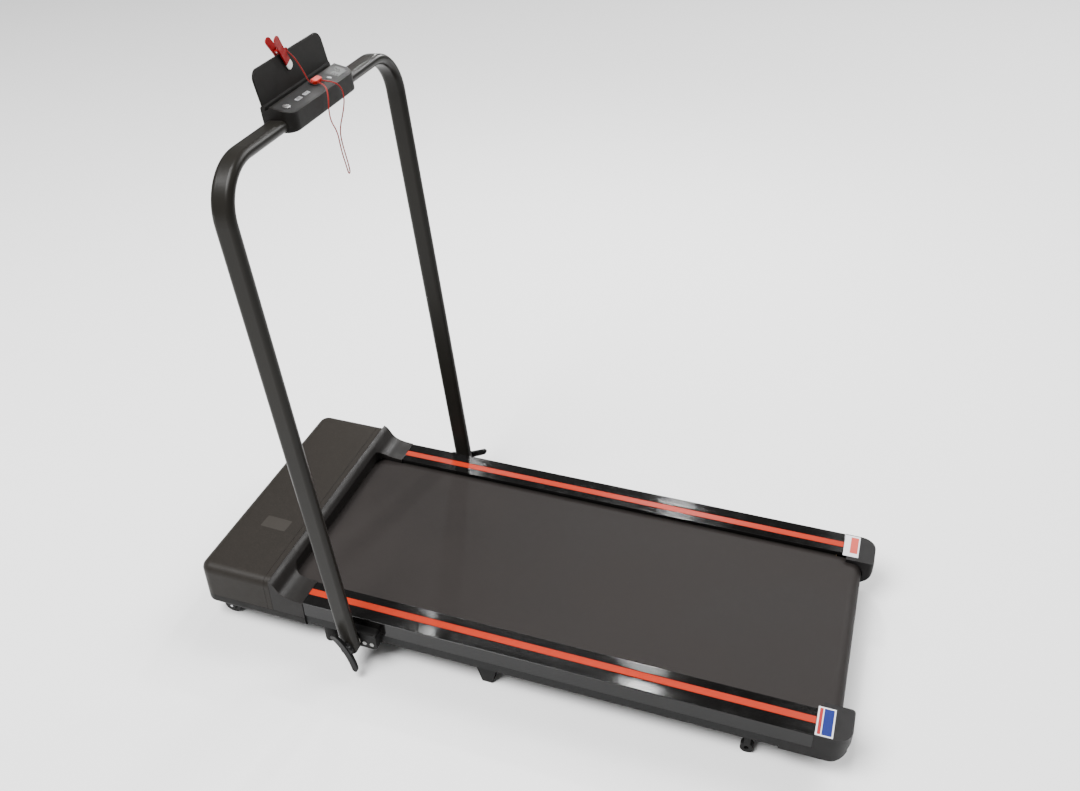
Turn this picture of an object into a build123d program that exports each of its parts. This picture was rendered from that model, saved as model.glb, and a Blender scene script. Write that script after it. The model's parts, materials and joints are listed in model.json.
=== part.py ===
"""Walking treadmill with a folding handrail, in millimetres.

Origin: on the floor, under the middle of the base. +Z is up, -Y is the front (motor hood),
+Y is the rear, and +X is the walker's left. Left parts are drawn and right parts mirrored,
apart from the console, the drive and the tether, which are not symmetric.
"""
from build123d import *
import math
import os

# ---------------------------------------------------------------- clearances
RUNNING_GAP = 0.3             # between parts that move past each other
SHAFT_GAP = 0.06              # radial, shaft in its bore
FIT_GAP = 0.2                 # between a piece and the pocket that it sits in
SEAM_GAP = 0.6                # visible joint between covers

# ---------------------------------------------------------------- driving sizes: belt and rollers
BASE_LENGTH = 1339.2
BELT_WIDTH = 420.0
BELT_THICKNESS = 2.0
ROLLER_RADIUS = 22.5
ROLLER_WALL = 2.5
ROLLER_OVERHANG = 2.0         # roller end beyond the belt's edge
BEARING_RADIUS = 13.0
BEARING_WIDTH = 8.0
AXLE_RADIUS = 5.0
FRONT_ROLLER_INSET = 129.6    # from the front of the base to the roller's axis
REAR_ROLLER_INSET = 46.6
DECK_THICKNESS = 12.0
DECK_BEARING = 14.7           # how far the board lies over each frame side
CUSHION_HEIGHT = 3.0

# ---------------------------------------------------------------- driving sizes: drive
BIG_PULLEY_RADIUS = 25.0
SMALL_PULLEY_RADIUS = 11.0
PULLEY_WIDTH = 13.0
PULLEY_HUB = 10.0             # from the roller's end to the pulley
DRIVE_BELT_WIDTH = 11.0
DRIVE_BELT_THICKNESS = 3.0
MOTOR_INSET = 57.6            # from the front of the base to the motor's axis
MOTOR_RADIUS = 36.0
MOTOR_LENGTH = 140.0
MOTOR_SHAFT_RADIUS = 5.0
MOTOR_FOOT = 8.0              # least height of the saddle under the motor
MOTOR_HEADROOM = 9.0          # between the motor and the hood
TRAY_THICKNESS = 4.0
CONTROLLER_X = (-190.0, -70.0)
CONTROLLER_HEIGHT = 44.0
FIN_HEIGHT = 10.0
FIN_PITCH = 13.0

# ---------------------------------------------------------------- driving sizes: frame and rails
FRAME_TUBE_WIDTH = 38.0
FRAME_TUBE_WALL = 2.0
FRAME_FRONT_INSET = 69.6
MEMBER_WIDTH = 40.0
MEMBER_WALL = 1.5
RAIL_WALL = 2.2
RAIL_TOP_WALL = 2.8
RAIL_STEP = 9.7               # the rail's top above the belt
RAIL_SKIRT = 35.0             # height of the rail's outer wall
RAIL_LIP_GAP = 2.2            # from the belt's top to the rail's inner lip
BELT_MARGIN = 3.0             # from the belt's edge to the rail
STRIPE_OFFSET = 27.0          # from the rail's inner edge to the stripe's middle
STRIPE_WIDTH = 16.0
STRIPE_DEPTH = 1.6
RIB_WIDTH = 1.8
RIB_PITCH = 3.6
RIB_HEIGHT = 0.6

# ---------------------------------------------------------------- driving sizes: hood and pan
HOOD_LENGTH = 153.6           # from the front of the base to the first seam
STRIP_WIDTH = 13.0            # between the two seams
COLLAR_BROW = 16.0            # from the second seam to the belt opening
COLLAR_REACH = 57.4           # from the belt opening to the end of the collar's arms
HOOD_OVERHANG = 1.5           # the hood's side beyond the rail's
HOOD_EDGE_RADIUS = 19.0
HOOD_CORNER_RADIUS = 24.0
HOOD_WALL = 3.0
COLLAR_CORNER_RADIUS = 22.0
COLLAR_DROP = 3.0             # from the rail's top down to the collar's lip
PAN_HEIGHT = 23.3             # from the pan's bottom to the hood's edge
PAN_EDGE_RADIUS = 9.0
PAN_WALL = 2.5
PAN_GAP = 1.0                 # from the pan's floor to what turns above it
FRAME_TO_PAN = 4.8

# ---------------------------------------------------------------- driving sizes: rear caps and feet
CAP_LENGTH = 67.2             # from the rail's end to the rear of the base
CAP_WING = 57.4               # the low side wing, forward of the rail's end
CAP_INSIDE = 17.0             # how far the cap reaches inwards past the rail
CAP_CORNER_RADIUS = 32.0
CAP_UNDER_RADIUS = 40.0
CAP_WALL = 2.2
LABEL_HALF_LENGTH = 33.0
LABEL_WIDTH = 32.0
LABEL_THICKNESS = 0.3
FOOT_RING_RADIUS = 12.5
FOOT_RING_HOLE = 4.8
FOOT_RING_INSET = 113.4       # from the rail's rear end
FOOT_RING_WIDTH = 14.0
MID_FOOT_Y = -32.0
FRONT_FOOT_INSET = 41.6       # from the rail's front end
FRONT_FOOT_RADIUS = 12.0
WHEEL_RADIUS = 20.0
WHEEL_WIDTH = 14.0
WHEEL_INSET_X = 29.0          # from the hood's side
WHEEL_INSET_Y = 45.6          # from the front of the base
WHEEL_AXLE_RADIUS = 3.0
FORK_GAP = 0.8                # between the wheel and each cheek
FORK_CHEEK = 3.0
FORK_BRIDGE = 1.5
FORK_HEADROOM = 1.2           # between the wheel and the bridge

# ---------------------------------------------------------------- driving sizes: handrail
PIVOT_INSET = 121.0           # from the rail's front end to the pivot
PIVOT_RISE = 15.8             # from the frame's bottom to the pivot
RAIL_LEAN = 5.87              # degrees forward of upright
ARM_LENGTH = 1008.0           # pivot to the middle of the crossbar
TUBE_BROAD = 40.0
TUBE_THIN = 20.0
TUBE_WALL = 1.5
BEND_RADIUS = 85.0
BOSS_REACH = 21.0             # the pivot boss beyond the rail's side
WASHER_SPACE = 1.5
WASHER_RADIUS = 16.0
STUD_RADIUS = 5.0
STUD_IN_KNOB = 9.0            # how far the stud reaches into the knob
KNOB_REACH = 50.0             # half length of the two-armed knob
KNOB_WIDTH = 13.0
KNOB_BOW = 10.0               # how far the arms' tips stand out beyond their root
LEFT_KNOB_TURN = -64.5        # degrees about +X, the arms' rest angle
RIGHT_KNOB_TURN = 20.0

# ---------------------------------------------------------------- driving sizes: console
CONSOLE_BACK_U = -24.0        # U runs from the crossbar towards the walker
CONSOLE_FACE_U = 33.0
CONSOLE_BELOW = 3.0           # from the crossbar's underside to the console's
CONSOLE_SPLIT_V = 15.0        # V runs up along the handrail from the crossbar
CONSOLE_FRONT_V = 19.0
CONSOLE_RIDGE_U = -7.0
CONSOLE_RIDGE_V = 31.5
CONSOLE_GUTTER_V = 26.0
CONSOLE_CORNER = 20.0
CONSOLE_WALL = 2.4
FACE_THICKNESS = 1.0
FACE_MARGIN = 5.0             # from the console's ends to the face panel
BUTTON_TRAVEL = 1.2
BUTTON_GAP = 0.25
BUTTON_HEIGHT = 2.2
BUTTON_U = 13.0
KEY_X = -24.0
KEY_U = 4.6
KEY_LENGTH = 24.0
KEY_WIDTH = 12.0
KEY_HEIGHT = 7.5
SMALL_BUTTON_PITCH = 29.0     # from the key to the small button
SMALL_BUTTON_RADIUS = 4.0
DISPLAY_PITCH = 13.0          # from the small button to the display's edge
DISPLAY_WIDTH = 38.0
DISPLAY_MARGIN = 9.5          # from the display to the console's end
DISPLAY_U = (1.0, 23.0)
ROUND_BUTTON_INSET = 22.5     # from the console's end
ROUND_BUTTON_RADIUS = 7.0
ROCKER_INSET = 38.0           # from the round button
ROCKER_PITCH = 26.0
ROCKER_LENGTH = 17.0
ROCKER_WIDTH = 7.0
PLATE_THICKNESS = 3.4
PLATE_HEIGHT = 56.0           # above the console's ridge
PLATE_CORNER = 18.0
PLATE_LEAN = 6.4              # degrees, leaning away from the walker
PLATE_INSET = 6.0             # from the console's back to the plate's middle

# ---------------------------------------------------------------- driving sizes: tether
CORD_RADIUS = 1.1
CLIP_X = 20.4                 # the clip's pin, across the plate
CLIP_ABOVE = 6.7              # the clip's pin above the plate's edge
CLIP_TILT = 23.2              # degrees towards the walker's left
CLIP_WIDTH = 16.0
CLIP_LOW = 39.0               # from the pin to the jaw's tip
CLIP_HIGH = 24.0              # from the pin to the squeezed end
CLIP_PIN_RADIUS = 1.2
CLIP_PAD = 12.0

# ---------------------------------------------------------------- worked-out places along Y
BASE_FRONT_Y = -BASE_LENGTH / 2
BASE_REAR_Y = BASE_LENGTH / 2
HOOD_REAR_Y = BASE_FRONT_Y + HOOD_LENGTH
COLLAR_FRONT_Y = HOOD_REAR_Y + STRIP_WIDTH
COLLAR_LIP_Y = COLLAR_FRONT_Y + COLLAR_BROW
RAIL_FRONT_Y = COLLAR_LIP_Y + COLLAR_REACH
RAIL_REAR_Y = BASE_REAR_Y - CAP_LENGTH
CAP_WING_Y = RAIL_REAR_Y - CAP_WING
FRONT_ROLLER_Y = BASE_FRONT_Y + FRONT_ROLLER_INSET
REAR_ROLLER_Y = BASE_REAR_Y - REAR_ROLLER_INSET
DECK_FRONT_Y = FRONT_ROLLER_Y + ROLLER_RADIUS + 12.5
DECK_REAR_Y = REAR_ROLLER_Y - ROLLER_RADIUS - 8.5
FRAME_FRONT_Y = BASE_FRONT_Y + FRAME_FRONT_INSET
FRAME_REAR_Y = REAR_ROLLER_Y + AXLE_RADIUS + 1.0
BOLT_HEAD_Y = FRAME_REAR_Y + 23.0
MOTOR_Y = BASE_FRONT_Y + MOTOR_INSET
WHEEL_Y = BASE_FRONT_Y + WHEEL_INSET_Y
FRONT_FOOT_Y = RAIL_FRONT_Y + FRONT_FOOT_INSET
FOOT_RING_Y = RAIL_REAR_Y - FOOT_RING_INSET
PIVOT_Y = RAIL_FRONT_Y + PIVOT_INSET

# ---------------------------------------------------------------- worked-out places along X
ROLLER_HALF = BELT_WIDTH / 2 + ROLLER_OVERHANG
PULLEY_INNER_X = ROLLER_HALF + PULLEY_HUB
PULLEY_OUTER_X = PULLEY_INNER_X + PULLEY_WIDTH
MOTOR_END_X = PULLEY_INNER_X - 32.0
MOTOR_START_X = MOTOR_END_X - MOTOR_LENGTH
FRAME_INNER_X = PULLEY_OUTER_X + RUNNING_GAP
FRAME_OUTER_X = FRAME_INNER_X + FRAME_TUBE_WIDTH
FRAME_MIDDLE_X = (FRAME_INNER_X + FRAME_OUTER_X) / 2
DECK_HALF_WIDTH = FRAME_INNER_X + DECK_BEARING
RAIL_INNER_X = BELT_WIDTH / 2 + BELT_MARGIN
RAIL_OUTER_X = FRAME_OUTER_X + RAIL_WALL
STRIPE_X = RAIL_INNER_X + STRIPE_OFFSET
CAP_INNER_X = RAIL_INNER_X - CAP_INSIDE
HOOD_HALF_WIDTH = RAIL_OUTER_X + HOOD_OVERHANG
WHEEL_X = HOOD_HALF_WIDTH - WHEEL_INSET_X
BRACKET_OUTER_X = RAIL_OUTER_X + BOSS_REACH
TUBE_X = BRACKET_OUTER_X + WASHER_SPACE + TUBE_THIN / 2

# ---------------------------------------------------------------- worked-out heights
BELT_INNER_RADIUS = ROLLER_RADIUS + RUNNING_GAP
BELT_OUTER_RADIUS = BELT_INNER_RADIUS + BELT_THICKNESS
DRIVE_RADIUS = BIG_PULLEY_RADIUS + RUNNING_GAP + DRIVE_BELT_THICKNESS
PAN_BOTTOM_Z = 2 * WHEEL_RADIUS + FORK_HEADROOM + FORK_BRIDGE
PARTING_Z = PAN_BOTTOM_Z + PAN_HEIGHT
FRAME_BOTTOM_Z = PAN_BOTTOM_Z + PAN_WALL + FRAME_TO_PAN
TRAY_TOP_Z = FRAME_BOTTOM_Z + FRAME_TUBE_WALL + TRAY_THICKNESS
ROLLER_Z = PAN_BOTTOM_Z + PAN_WALL + PAN_GAP + max(BELT_OUTER_RADIUS, DRIVE_RADIUS)
BELT_TOP_Z = ROLLER_Z + BELT_OUTER_RADIUS
DECK_TOP_Z = BELT_TOP_Z - BELT_THICKNESS
DECK_BOTTOM_Z = DECK_TOP_Z - DECK_THICKNESS
FRAME_TOP_Z = DECK_BOTTOM_Z - CUSHION_HEIGHT
RAIL_TOP_Z = BELT_TOP_Z + RAIL_STEP
RAIL_SKIRT_Z = RAIL_TOP_Z - RAIL_SKIRT
RAIL_LIP_Z = BELT_TOP_Z + RAIL_LIP_GAP
COLLAR_LIP_Z = RAIL_TOP_Z - COLLAR_DROP
MOTOR_Z = TRAY_TOP_Z + MOTOR_FOOT + MOTOR_RADIUS
HOOD_TOP_Z = MOTOR_Z + MOTOR_RADIUS + MOTOR_HEADROOM + HOOD_WALL
PIVOT_Z = FRAME_BOTTOM_Z + PIVOT_RISE

# ---------------------------------------------------------------- worked-out sizes of the handrail
LEAN = math.radians(RAIL_LEAN)
CROSSBAR_Y = PIVOT_Y - ARM_LENGTH * math.sin(LEAN)
CROSSBAR_Z = PIVOT_Z + ARM_LENGTH * math.cos(LEAN)
CONSOLE_BOTTOM_V = -TUBE_THIN / 2 - CONSOLE_BELOW
CONSOLE_HALF_WIDTH = SMALL_BUTTON_PITCH + DISPLAY_PITCH + DISPLAY_WIDTH + DISPLAY_MARGIN - KEY_X
SLOPE = math.atan2(CONSOLE_RIDGE_V - CONSOLE_FRONT_V, CONSOLE_FACE_U - CONSOLE_RIDGE_U)
PLATE_BASE_U = CONSOLE_BACK_U + PLATE_INSET
PLATE_RISE = PLATE_HEIGHT + CONSOLE_RIDGE_V - CONSOLE_GUTTER_V + 3.0
FACE_U = (CONSOLE_RIDGE_U + 3.0, CONSOLE_FACE_U - 4.0)
FACE_HALF = CONSOLE_HALF_WIDTH - FACE_MARGIN
ROUND_BUTTON = (CONSOLE_HALF_WIDTH - ROUND_BUTTON_INSET, 12.0, ROUND_BUTTON_RADIUS)    # X, U, radius
SMALL_BUTTON = (KEY_X - SMALL_BUTTON_PITCH, 14.0, SMALL_BUTTON_RADIUS)
ROCKERS = (
    ("speed_up_button", ROUND_BUTTON[0] - ROCKER_INSET, BUTTON_U),
    ("speed_down_button", ROUND_BUTTON[0] - ROCKER_INSET - ROCKER_PITCH, BUTTON_U),
)
DISPLAY_X = (SMALL_BUTTON[0] - DISPLAY_PITCH - DISPLAY_WIDTH, SMALL_BUTTON[0] - DISPLAY_PITCH)
DISPLAY = DISPLAY_X + DISPLAY_U                       # X from, X to, U from, U to

# ---------------------------------------------------------------- power inlet and switch
INLET_MOUTH = (-180.0, 16.0, PARTING_Z + 8.0, PARTING_Z + 32.0)    # middle X, half width, low Z, high Z
SWITCH_MOUTH = (-130.0, 12.0, PARTING_Z + 10.0, PARTING_Z + 30.0)

# The handrail's own frame: origin at the middle of the crossbar, X across, U to the walker, V up
RAIL_FRAME = Plane(
    origin=(0, CROSSBAR_Y, CROSSBAR_Z), x_dir=(1, 0, 0), z_dir=(0, -math.sin(LEAN), math.cos(LEAN))
)


# ---------------------------------------------------------------- small helpers
def block(x0, x1, y0, y1, z0, z1):
    """A box between two corners."""
    centre = Pos((x0 + x1) / 2, (y0 + y1) / 2, (z0 + z1) / 2)
    return centre * Box(x1 - x0, y1 - y0, z1 - z0)


def rod_x(radius, x0, x1, y, z):
    """A round bar along X."""
    return Pos((x0 + x1) / 2, y, z) * Rot(0, 90, 0) * Cylinder(radius, x1 - x0)


def rod_y(radius, y0, y1, x, z):
    """A round bar along Y."""
    return Pos(x, (y0 + y1) / 2, z) * Rot(90, 0, 0) * Cylinder(radius, y1 - y0)


def rod_z(radius, z0, z1, x, y):
    """A round bar along Z."""
    return Pos(x, y, (z0 + z1) / 2) * Cylinder(radius, z1 - z0)


def area(x0, x1, y0, y1):
    """A flat rectangle between two corners."""
    return Pos((x0 + x1) / 2, (y0 + y1) / 2) * Rectangle(x1 - x0, y1 - y0)


def outline(*points):
    """A flat face inside a closed run of points."""
    return make_face(Polyline(*points, close=True))


def along_x(sketch, x0, x1):
    """A sketch of (Y, Z) drawn out along X."""
    return extrude(Plane.YZ.offset(x0) * sketch, amount=x1 - x0)


def along_y(sketch, y0, y1):
    """A sketch of (X, Z) drawn out along Y."""
    return extrude(Plane.XZ.offset(-y1) * sketch, amount=y1 - y0)


def along_z(sketch, z0, z1):
    """A sketch of (X, Y) drawn out along Z."""
    return extrude(Plane.XY.offset(z0) * sketch, amount=z1 - z0)


def right(shape):
    """The right-hand twin of a left-hand shape."""
    return mirror(shape, about=Plane.YZ)


def save(name, *shapes):
    """Write one node, from one or more separate solids."""
    solids = [solid for shape in shapes for solid in shape.solids()]
    whole = solids[0] if len(solids) == 1 else Compound(children=solids)
    export_step(whole, f"parts/{name}.step")


def save_pair(name, shape):
    """Write a left node and its mirrored right twin."""
    save(name + "_left", shape)
    save(name + "_right", right(shape))


# ---------------------------------------------------------------- base: frame and deck
def frame_side():
    """Rectangular steel tube with a slot at the rear and a hole at the front for the axles."""
    section = area(FRAME_INNER_X, FRAME_OUTER_X, FRAME_BOTTOM_Z, FRAME_TOP_Z)
    section -= area(
        FRAME_INNER_X + FRAME_TUBE_WALL,
        FRAME_OUTER_X - FRAME_TUBE_WALL,
        FRAME_BOTTOM_Z + FRAME_TUBE_WALL,
        FRAME_TOP_Z - FRAME_TUBE_WALL,
    )
    tube = along_y(section, FRAME_FRONT_Y, FRAME_REAR_Y)
    wall = (FRAME_INNER_X - 1, FRAME_INNER_X + FRAME_TUBE_WALL + 1)
    tube -= rod_x(AXLE_RADIUS, *wall, FRONT_ROLLER_Y, ROLLER_Z)
    slot_front = REAR_ROLLER_Y - AXLE_RADIUS - 8
    reach = AXLE_RADIUS + FIT_GAP
    tube -= block(*wall, slot_front, FRAME_REAR_Y + 1, ROLLER_Z - reach, ROLLER_Z + reach)
    return tube


def cross_members():
    """Flat tubes between the frame sides, in the space between the belt's two runs."""
    members = []
    first = DECK_FRONT_Y + 105
    pitch = (DECK_REAR_Y - 272 - first) / 2
    wall = MEMBER_WALL
    for index in range(3):
        y = first + index * pitch
        section = area(y, y + MEMBER_WIDTH, ROLLER_Z - 16, ROLLER_Z + 4)
        section -= area(y + wall, y + MEMBER_WIDTH - wall, ROLLER_Z - 16 + wall, ROLLER_Z + 4 - wall)
        members.append(along_x(section, -FRAME_INNER_X, FRAME_INNER_X))
    tray_z = TRAY_TOP_Z - TRAY_THICKNESS
    tray = block(-FRAME_INNER_X, FRAME_INNER_X, MOTOR_Y - 38, MOTOR_Y + 32, tray_z, TRAY_TOP_Z)
    return members + [tray]


def deck_board():
    """The board that the belt slides on, with rounded front and rear edges."""
    board = block(
        -DECK_HALF_WIDTH, DECK_HALF_WIDTH, DECK_FRONT_Y, DECK_REAR_Y, DECK_BOTTOM_Z, DECK_TOP_Z
    )
    return fillet(board.edges().filter_by(Axis.X), 4)


def deck_cushions():
    """Rubber pads between the frame sides and the board."""
    pads = []
    inner = FRAME_INNER_X + 1
    first = DECK_FRONT_Y + 65
    pitch = (DECK_REAR_Y - 72 - first) / 4
    for index in range(5):
        y = first + index * pitch
        pad = block(inner, DECK_HALF_WIDTH - 1, y - 20, y + 20, FRAME_TOP_Z, DECK_BOTTOM_Z)
        pads += [pad, right(pad)]
    return pads


def belt_loop():
    """The endless running belt round both rollers."""
    span = REAR_ROLLER_Y - FRONT_ROLLER_Y
    middle = Pos((REAR_ROLLER_Y + FRONT_ROLLER_Y) / 2, ROLLER_Z)
    section = middle * SlotCenterToCenter(span, 2 * BELT_OUTER_RADIUS)
    section -= middle * SlotCenterToCenter(span, 2 * BELT_INNER_RADIUS)
    return along_x(section, -BELT_WIDTH / 2, BELT_WIDTH / 2)


def roller(y):
    """Steel tube with an end disc at each side, bored for the axle's bearings."""
    tube = rod_x(ROLLER_RADIUS, -ROLLER_HALF, ROLLER_HALF, y, ROLLER_Z)
    inner = ROLLER_HALF - BEARING_WIDTH - 1
    tube -= rod_x(ROLLER_RADIUS - ROLLER_WALL, -inner, inner, y, ROLLER_Z)
    tube -= rod_x(BEARING_RADIUS, -ROLLER_HALF - 1, ROLLER_HALF + 1, y, ROLLER_Z)
    return tube


def bearings(y):
    """Two bearings that fill the roller's end discs and run on the axle."""
    rings = []
    for side in (-1, 1):
        outer = ROLLER_HALF - 0.5
        low, high = sorted((side * (outer - BEARING_WIDTH), side * outer))
        ring = rod_x(BEARING_RADIUS, low, high, y, ROLLER_Z)
        rings.append(ring - rod_x(AXLE_RADIUS + SHAFT_GAP, low - 1, high + 1, y, ROLLER_Z))
    return rings


def axle(y):
    """Fixed shaft whose ends sit in the frame sides."""
    end = FRAME_OUTER_X - FRAME_TUBE_WALL - 1
    return rod_x(AXLE_RADIUS, -end, end, y, ROLLER_Z)


def tension_bolt():
    """Bolt from inside the rear cap through the rear axle, with an end plate in the tube."""
    x = FRAME_MIDDLE_X
    shank = rod_y(3, REAR_ROLLER_Y - 12, BOLT_HEAD_Y, x, ROLLER_Z)
    head = rod_y(6, BOLT_HEAD_Y, BOLT_HEAD_Y + 5, x, ROLLER_Z)
    return shank + head - rod_y(2.6, BOLT_HEAD_Y + 2, BOLT_HEAD_Y + 6, x, ROLLER_Z)


def tension_plate():
    """Plate across the rear end of the frame tube that the tension bolt bears on."""
    plate = block(
        FRAME_INNER_X, FRAME_OUTER_X, FRAME_REAR_Y, FRAME_REAR_Y + 3,
        FRAME_BOTTOM_Z + 6, FRAME_TOP_Z,
    )
    return plate - rod_y(3, FRAME_REAR_Y - 1, FRAME_REAR_Y + 4, FRAME_MIDDLE_X, ROLLER_Z)


# ---------------------------------------------------------------- base: drive
def ribbed_wheel(radius, x0, x1, y, z):
    """Pulley with fine grooves round its rim."""
    wheel = rod_x(radius, x0, x1, y, z)
    count = int((x1 - x0 - 3) // 2)
    for index in range(count):
        x = x0 + 2 + index * 2
        groove = rod_x(radius + 1, x, x + 0.9, y, z) - rod_x(radius - 1, x, x + 0.9, y, z)
        wheel -= groove
    return wheel


def roller_pulley():
    """Large pulley fixed to the left end of the front roller."""
    x0, x1 = PULLEY_INNER_X, PULLEY_OUTER_X
    hub = rod_x(BEARING_RADIUS + 1, ROLLER_HALF, x0, FRONT_ROLLER_Y, ROLLER_Z)
    wheel = ribbed_wheel(BIG_PULLEY_RADIUS, x0, x1, FRONT_ROLLER_Y, ROLLER_Z)
    bore = rod_x(AXLE_RADIUS + SHAFT_GAP, ROLLER_HALF - 1, x1 + 1, FRONT_ROLLER_Y, ROLLER_Z)
    return hub + wheel - bore


def motor_pulley():
    """Small pulley on the motor shaft."""
    x0, x1 = PULLEY_INNER_X, PULLEY_OUTER_X
    wheel = ribbed_wheel(SMALL_PULLEY_RADIUS, x0, x1, MOTOR_Y, MOTOR_Z)
    return wheel - rod_x(MOTOR_SHAFT_RADIUS, x0 - 1, x1 + 1, MOTOR_Y, MOTOR_Z)


def drive_belt():
    """Belt round both drive pulleys, standing a hair off their rims."""
    def hull(extra):
        small = Pos(MOTOR_Y, MOTOR_Z) * Circle(SMALL_PULLEY_RADIUS + extra)
        large = Pos(FRONT_ROLLER_Y, ROLLER_Z) * Circle(BIG_PULLEY_RADIUS + extra)
        return make_hull((small + large).edges())
    band = hull(RUNNING_GAP + DRIVE_BELT_THICKNESS) - hull(RUNNING_GAP)
    middle = (PULLEY_INNER_X + PULLEY_OUTER_X) / 2
    return along_x(band, middle - DRIVE_BELT_WIDTH / 2, middle + DRIVE_BELT_WIDTH / 2)


def motor_case():
    """Motor can with end bells and a bore for its shaft."""
    x0, x1 = MOTOR_START_X, MOTOR_END_X
    can = rod_x(MOTOR_RADIUS, x0, x1, MOTOR_Y, MOTOR_Z)
    can = fillet(can.edges().filter_by(GeomType.CIRCLE), 3)
    nose = rod_x(14, x1, x1 + 7, MOTOR_Y, MOTOR_Z)
    bore = rod_x(MOTOR_SHAFT_RADIUS + SHAFT_GAP, x1 - 40, x1 + 8, MOTOR_Y, MOTOR_Z)
    cavity = rod_x(MOTOR_RADIUS - 3, x0 + 10, x1 - 10, MOTOR_Y, MOTOR_Z)
    return can + nose - cavity - bore


def motor_bracket():
    """Saddle that carries the motor on the front tray."""
    x0, x1 = MOTOR_START_X + 20, MOTOR_END_X - 20
    saddle = block(x0, x1, MOTOR_Y - 26, MOTOR_Y + 26, TRAY_TOP_Z, MOTOR_Z - 10)
    return saddle - rod_x(MOTOR_RADIUS, x0 - 10, x1 + 10, MOTOR_Y, MOTOR_Z)


def motor_shaft():
    """Armature and shaft that turn inside the motor can."""
    inner = MOTOR_END_X - 15
    shaft = rod_x(MOTOR_SHAFT_RADIUS, inner, PULLEY_OUTER_X, MOTOR_Y, MOTOR_Z)
    return shaft + rod_x(MOTOR_RADIUS - 8, MOTOR_START_X + 15, inner, MOTOR_Y, MOTOR_Z)


def controller_box():
    """Finned box for the motor controller."""
    x0, x1 = CONTROLLER_X
    y0, y1 = MOTOR_Y - 33, MOTOR_Y + 27
    top = TRAY_TOP_Z + CONTROLLER_HEIGHT
    box = block(x0, x1, y0, y1, TRAY_TOP_Z, top)
    for index in range(int((x1 - x0 - 3) // FIN_PITCH)):
        x = x0 + 6 + index * FIN_PITCH
        box += block(x, x + 3, y0 + 2, y1 - 2, top, top + FIN_HEIGHT)
    return box


# ---------------------------------------------------------------- base: hood and pan
def hood_outline(inset, front=BASE_FRONT_Y, rear=HOOD_REAR_Y):
    """Plan of the hood with two rounded front corners."""
    half = HOOD_HALF_WIDTH - inset
    plan = area(-half, half, front + inset, rear)
    corners = plan.vertices().sort_by(Axis.Y)[:2]
    return fillet(corners, HOOD_CORNER_RADIUS - inset)


def hood_block(inset):
    """The hood's solid form, with rounded top edges along its front and sides."""
    rear = HOOD_REAR_Y + (1 if inset else 0)
    low = PARTING_Z - (1 if inset else 0)
    solid = along_z(hood_outline(inset, rear=rear), low, HOOD_TOP_Z - inset)
    top = solid.faces().sort_by(Axis.Z)[-1]
    rim = [edge for edge in top.edges() if edge.center().Y < rear - 0.1]
    return fillet(rim, HOOD_EDGE_RADIUS - inset)


def motor_hood():
    """Front cover, open below and behind, with the mouths of the inlet and the switch."""
    hood = hood_block(0) - hood_block(HOOD_WALL)
    for x, half_x, low, high in (INLET_MOUTH, SWITCH_MOUTH):
        hood -= block(x - half_x, x + half_x, BASE_FRONT_Y - 1, BASE_FRONT_Y + 5, low, high)
    return hood


def collar_slope(dy=0.0, dz=0.0):
    """Side view of the collar: down from the hood's top to the rails in one concave sweep."""
    start = (COLLAR_FRONT_Y + dy, HOOD_TOP_Z + dz)
    knee = (COLLAR_LIP_Y + 6 + dy, RAIL_TOP_Z + 15 + dz)
    end = (RAIL_FRONT_Y + dy, RAIL_TOP_Z + dz)
    fall = Spline(start, knee, end, tangents=[(1, -0.35), (1, -0.04)])
    low = PARTING_Z - (1 if dz else 0)
    rest = Polyline(end, (end[0], low), (start[0], low), start)
    return make_face(fall + rest)


def belt_mouth(grow):
    """Plan of the opening over the belt, with two rounded front corners."""
    half = RAIL_INNER_X - BELT_MARGIN + grow
    plan = area(-half, half, COLLAR_LIP_Y - grow, RAIL_FRONT_Y + 40)
    corners = plan.vertices().sort_by(Axis.Y)[:2]
    return fillet(corners, COLLAR_CORNER_RADIUS + grow)


def hood_strip():
    """Narrow band between the two seams across the hood."""
    section = area(HOOD_REAR_Y + SEAM_GAP, COLLAR_FRONT_Y - SEAM_GAP, PARTING_Z, HOOD_TOP_Z)
    strip = along_x(section, -HOOD_HALF_WIDTH, HOOD_HALF_WIDTH)
    rim = strip.edges().filter_by(Axis.Y).sort_by(Axis.Z)[-2:]
    strip = fillet(rim, HOOD_EDGE_RADIUS)
    half = HOOD_HALF_WIDTH - HOOD_WALL
    hollow = area(HOOD_REAR_Y - 1, COLLAR_FRONT_Y + 1, PARTING_Z - 1, HOOD_TOP_Z - HOOD_WALL)
    core = along_x(hollow, -half, half)
    rim = core.edges().filter_by(Axis.Y).sort_by(Axis.Z)[-2:]
    return strip - fillet(rim, HOOD_EDGE_RADIUS - HOOD_WALL)


def hood_collar():
    """Cover over the front of the belt, with an arm down each side to the rails."""
    form = along_x(collar_slope(), -HOOD_HALF_WIDTH, HOOD_HALF_WIDTH)
    form -= along_z(belt_mouth(0), PARTING_Z - 1, HOOD_TOP_Z + 1)
    half = HOOD_HALF_WIDTH - HOOD_WALL
    core = along_x(collar_slope(-2.5, -HOOD_WALL), -half, half)
    core -= along_z(belt_mouth(HOOD_WALL), PARTING_Z - 2, HOOD_TOP_Z + 1)
    collar = form - core
    front, low = COLLAR_LIP_Y - 10, PARTING_Z - 1
    collar -= block(-half, half, front, RAIL_FRONT_Y - HOOD_WALL, low, RAIL_LIP_Z)
    mouth = RAIL_INNER_X - BELT_MARGIN
    collar -= block(-mouth, mouth, front, RAIL_FRONT_Y, low, COLLAR_LIP_Z)
    collar -= block(-half, half, COLLAR_FRONT_Y - 5, RAIL_FRONT_Y + 1, low - 1, RAIL_LIP_Z - 1)
    return max(collar.solids(), key=lambda solid: solid.volume)


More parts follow.
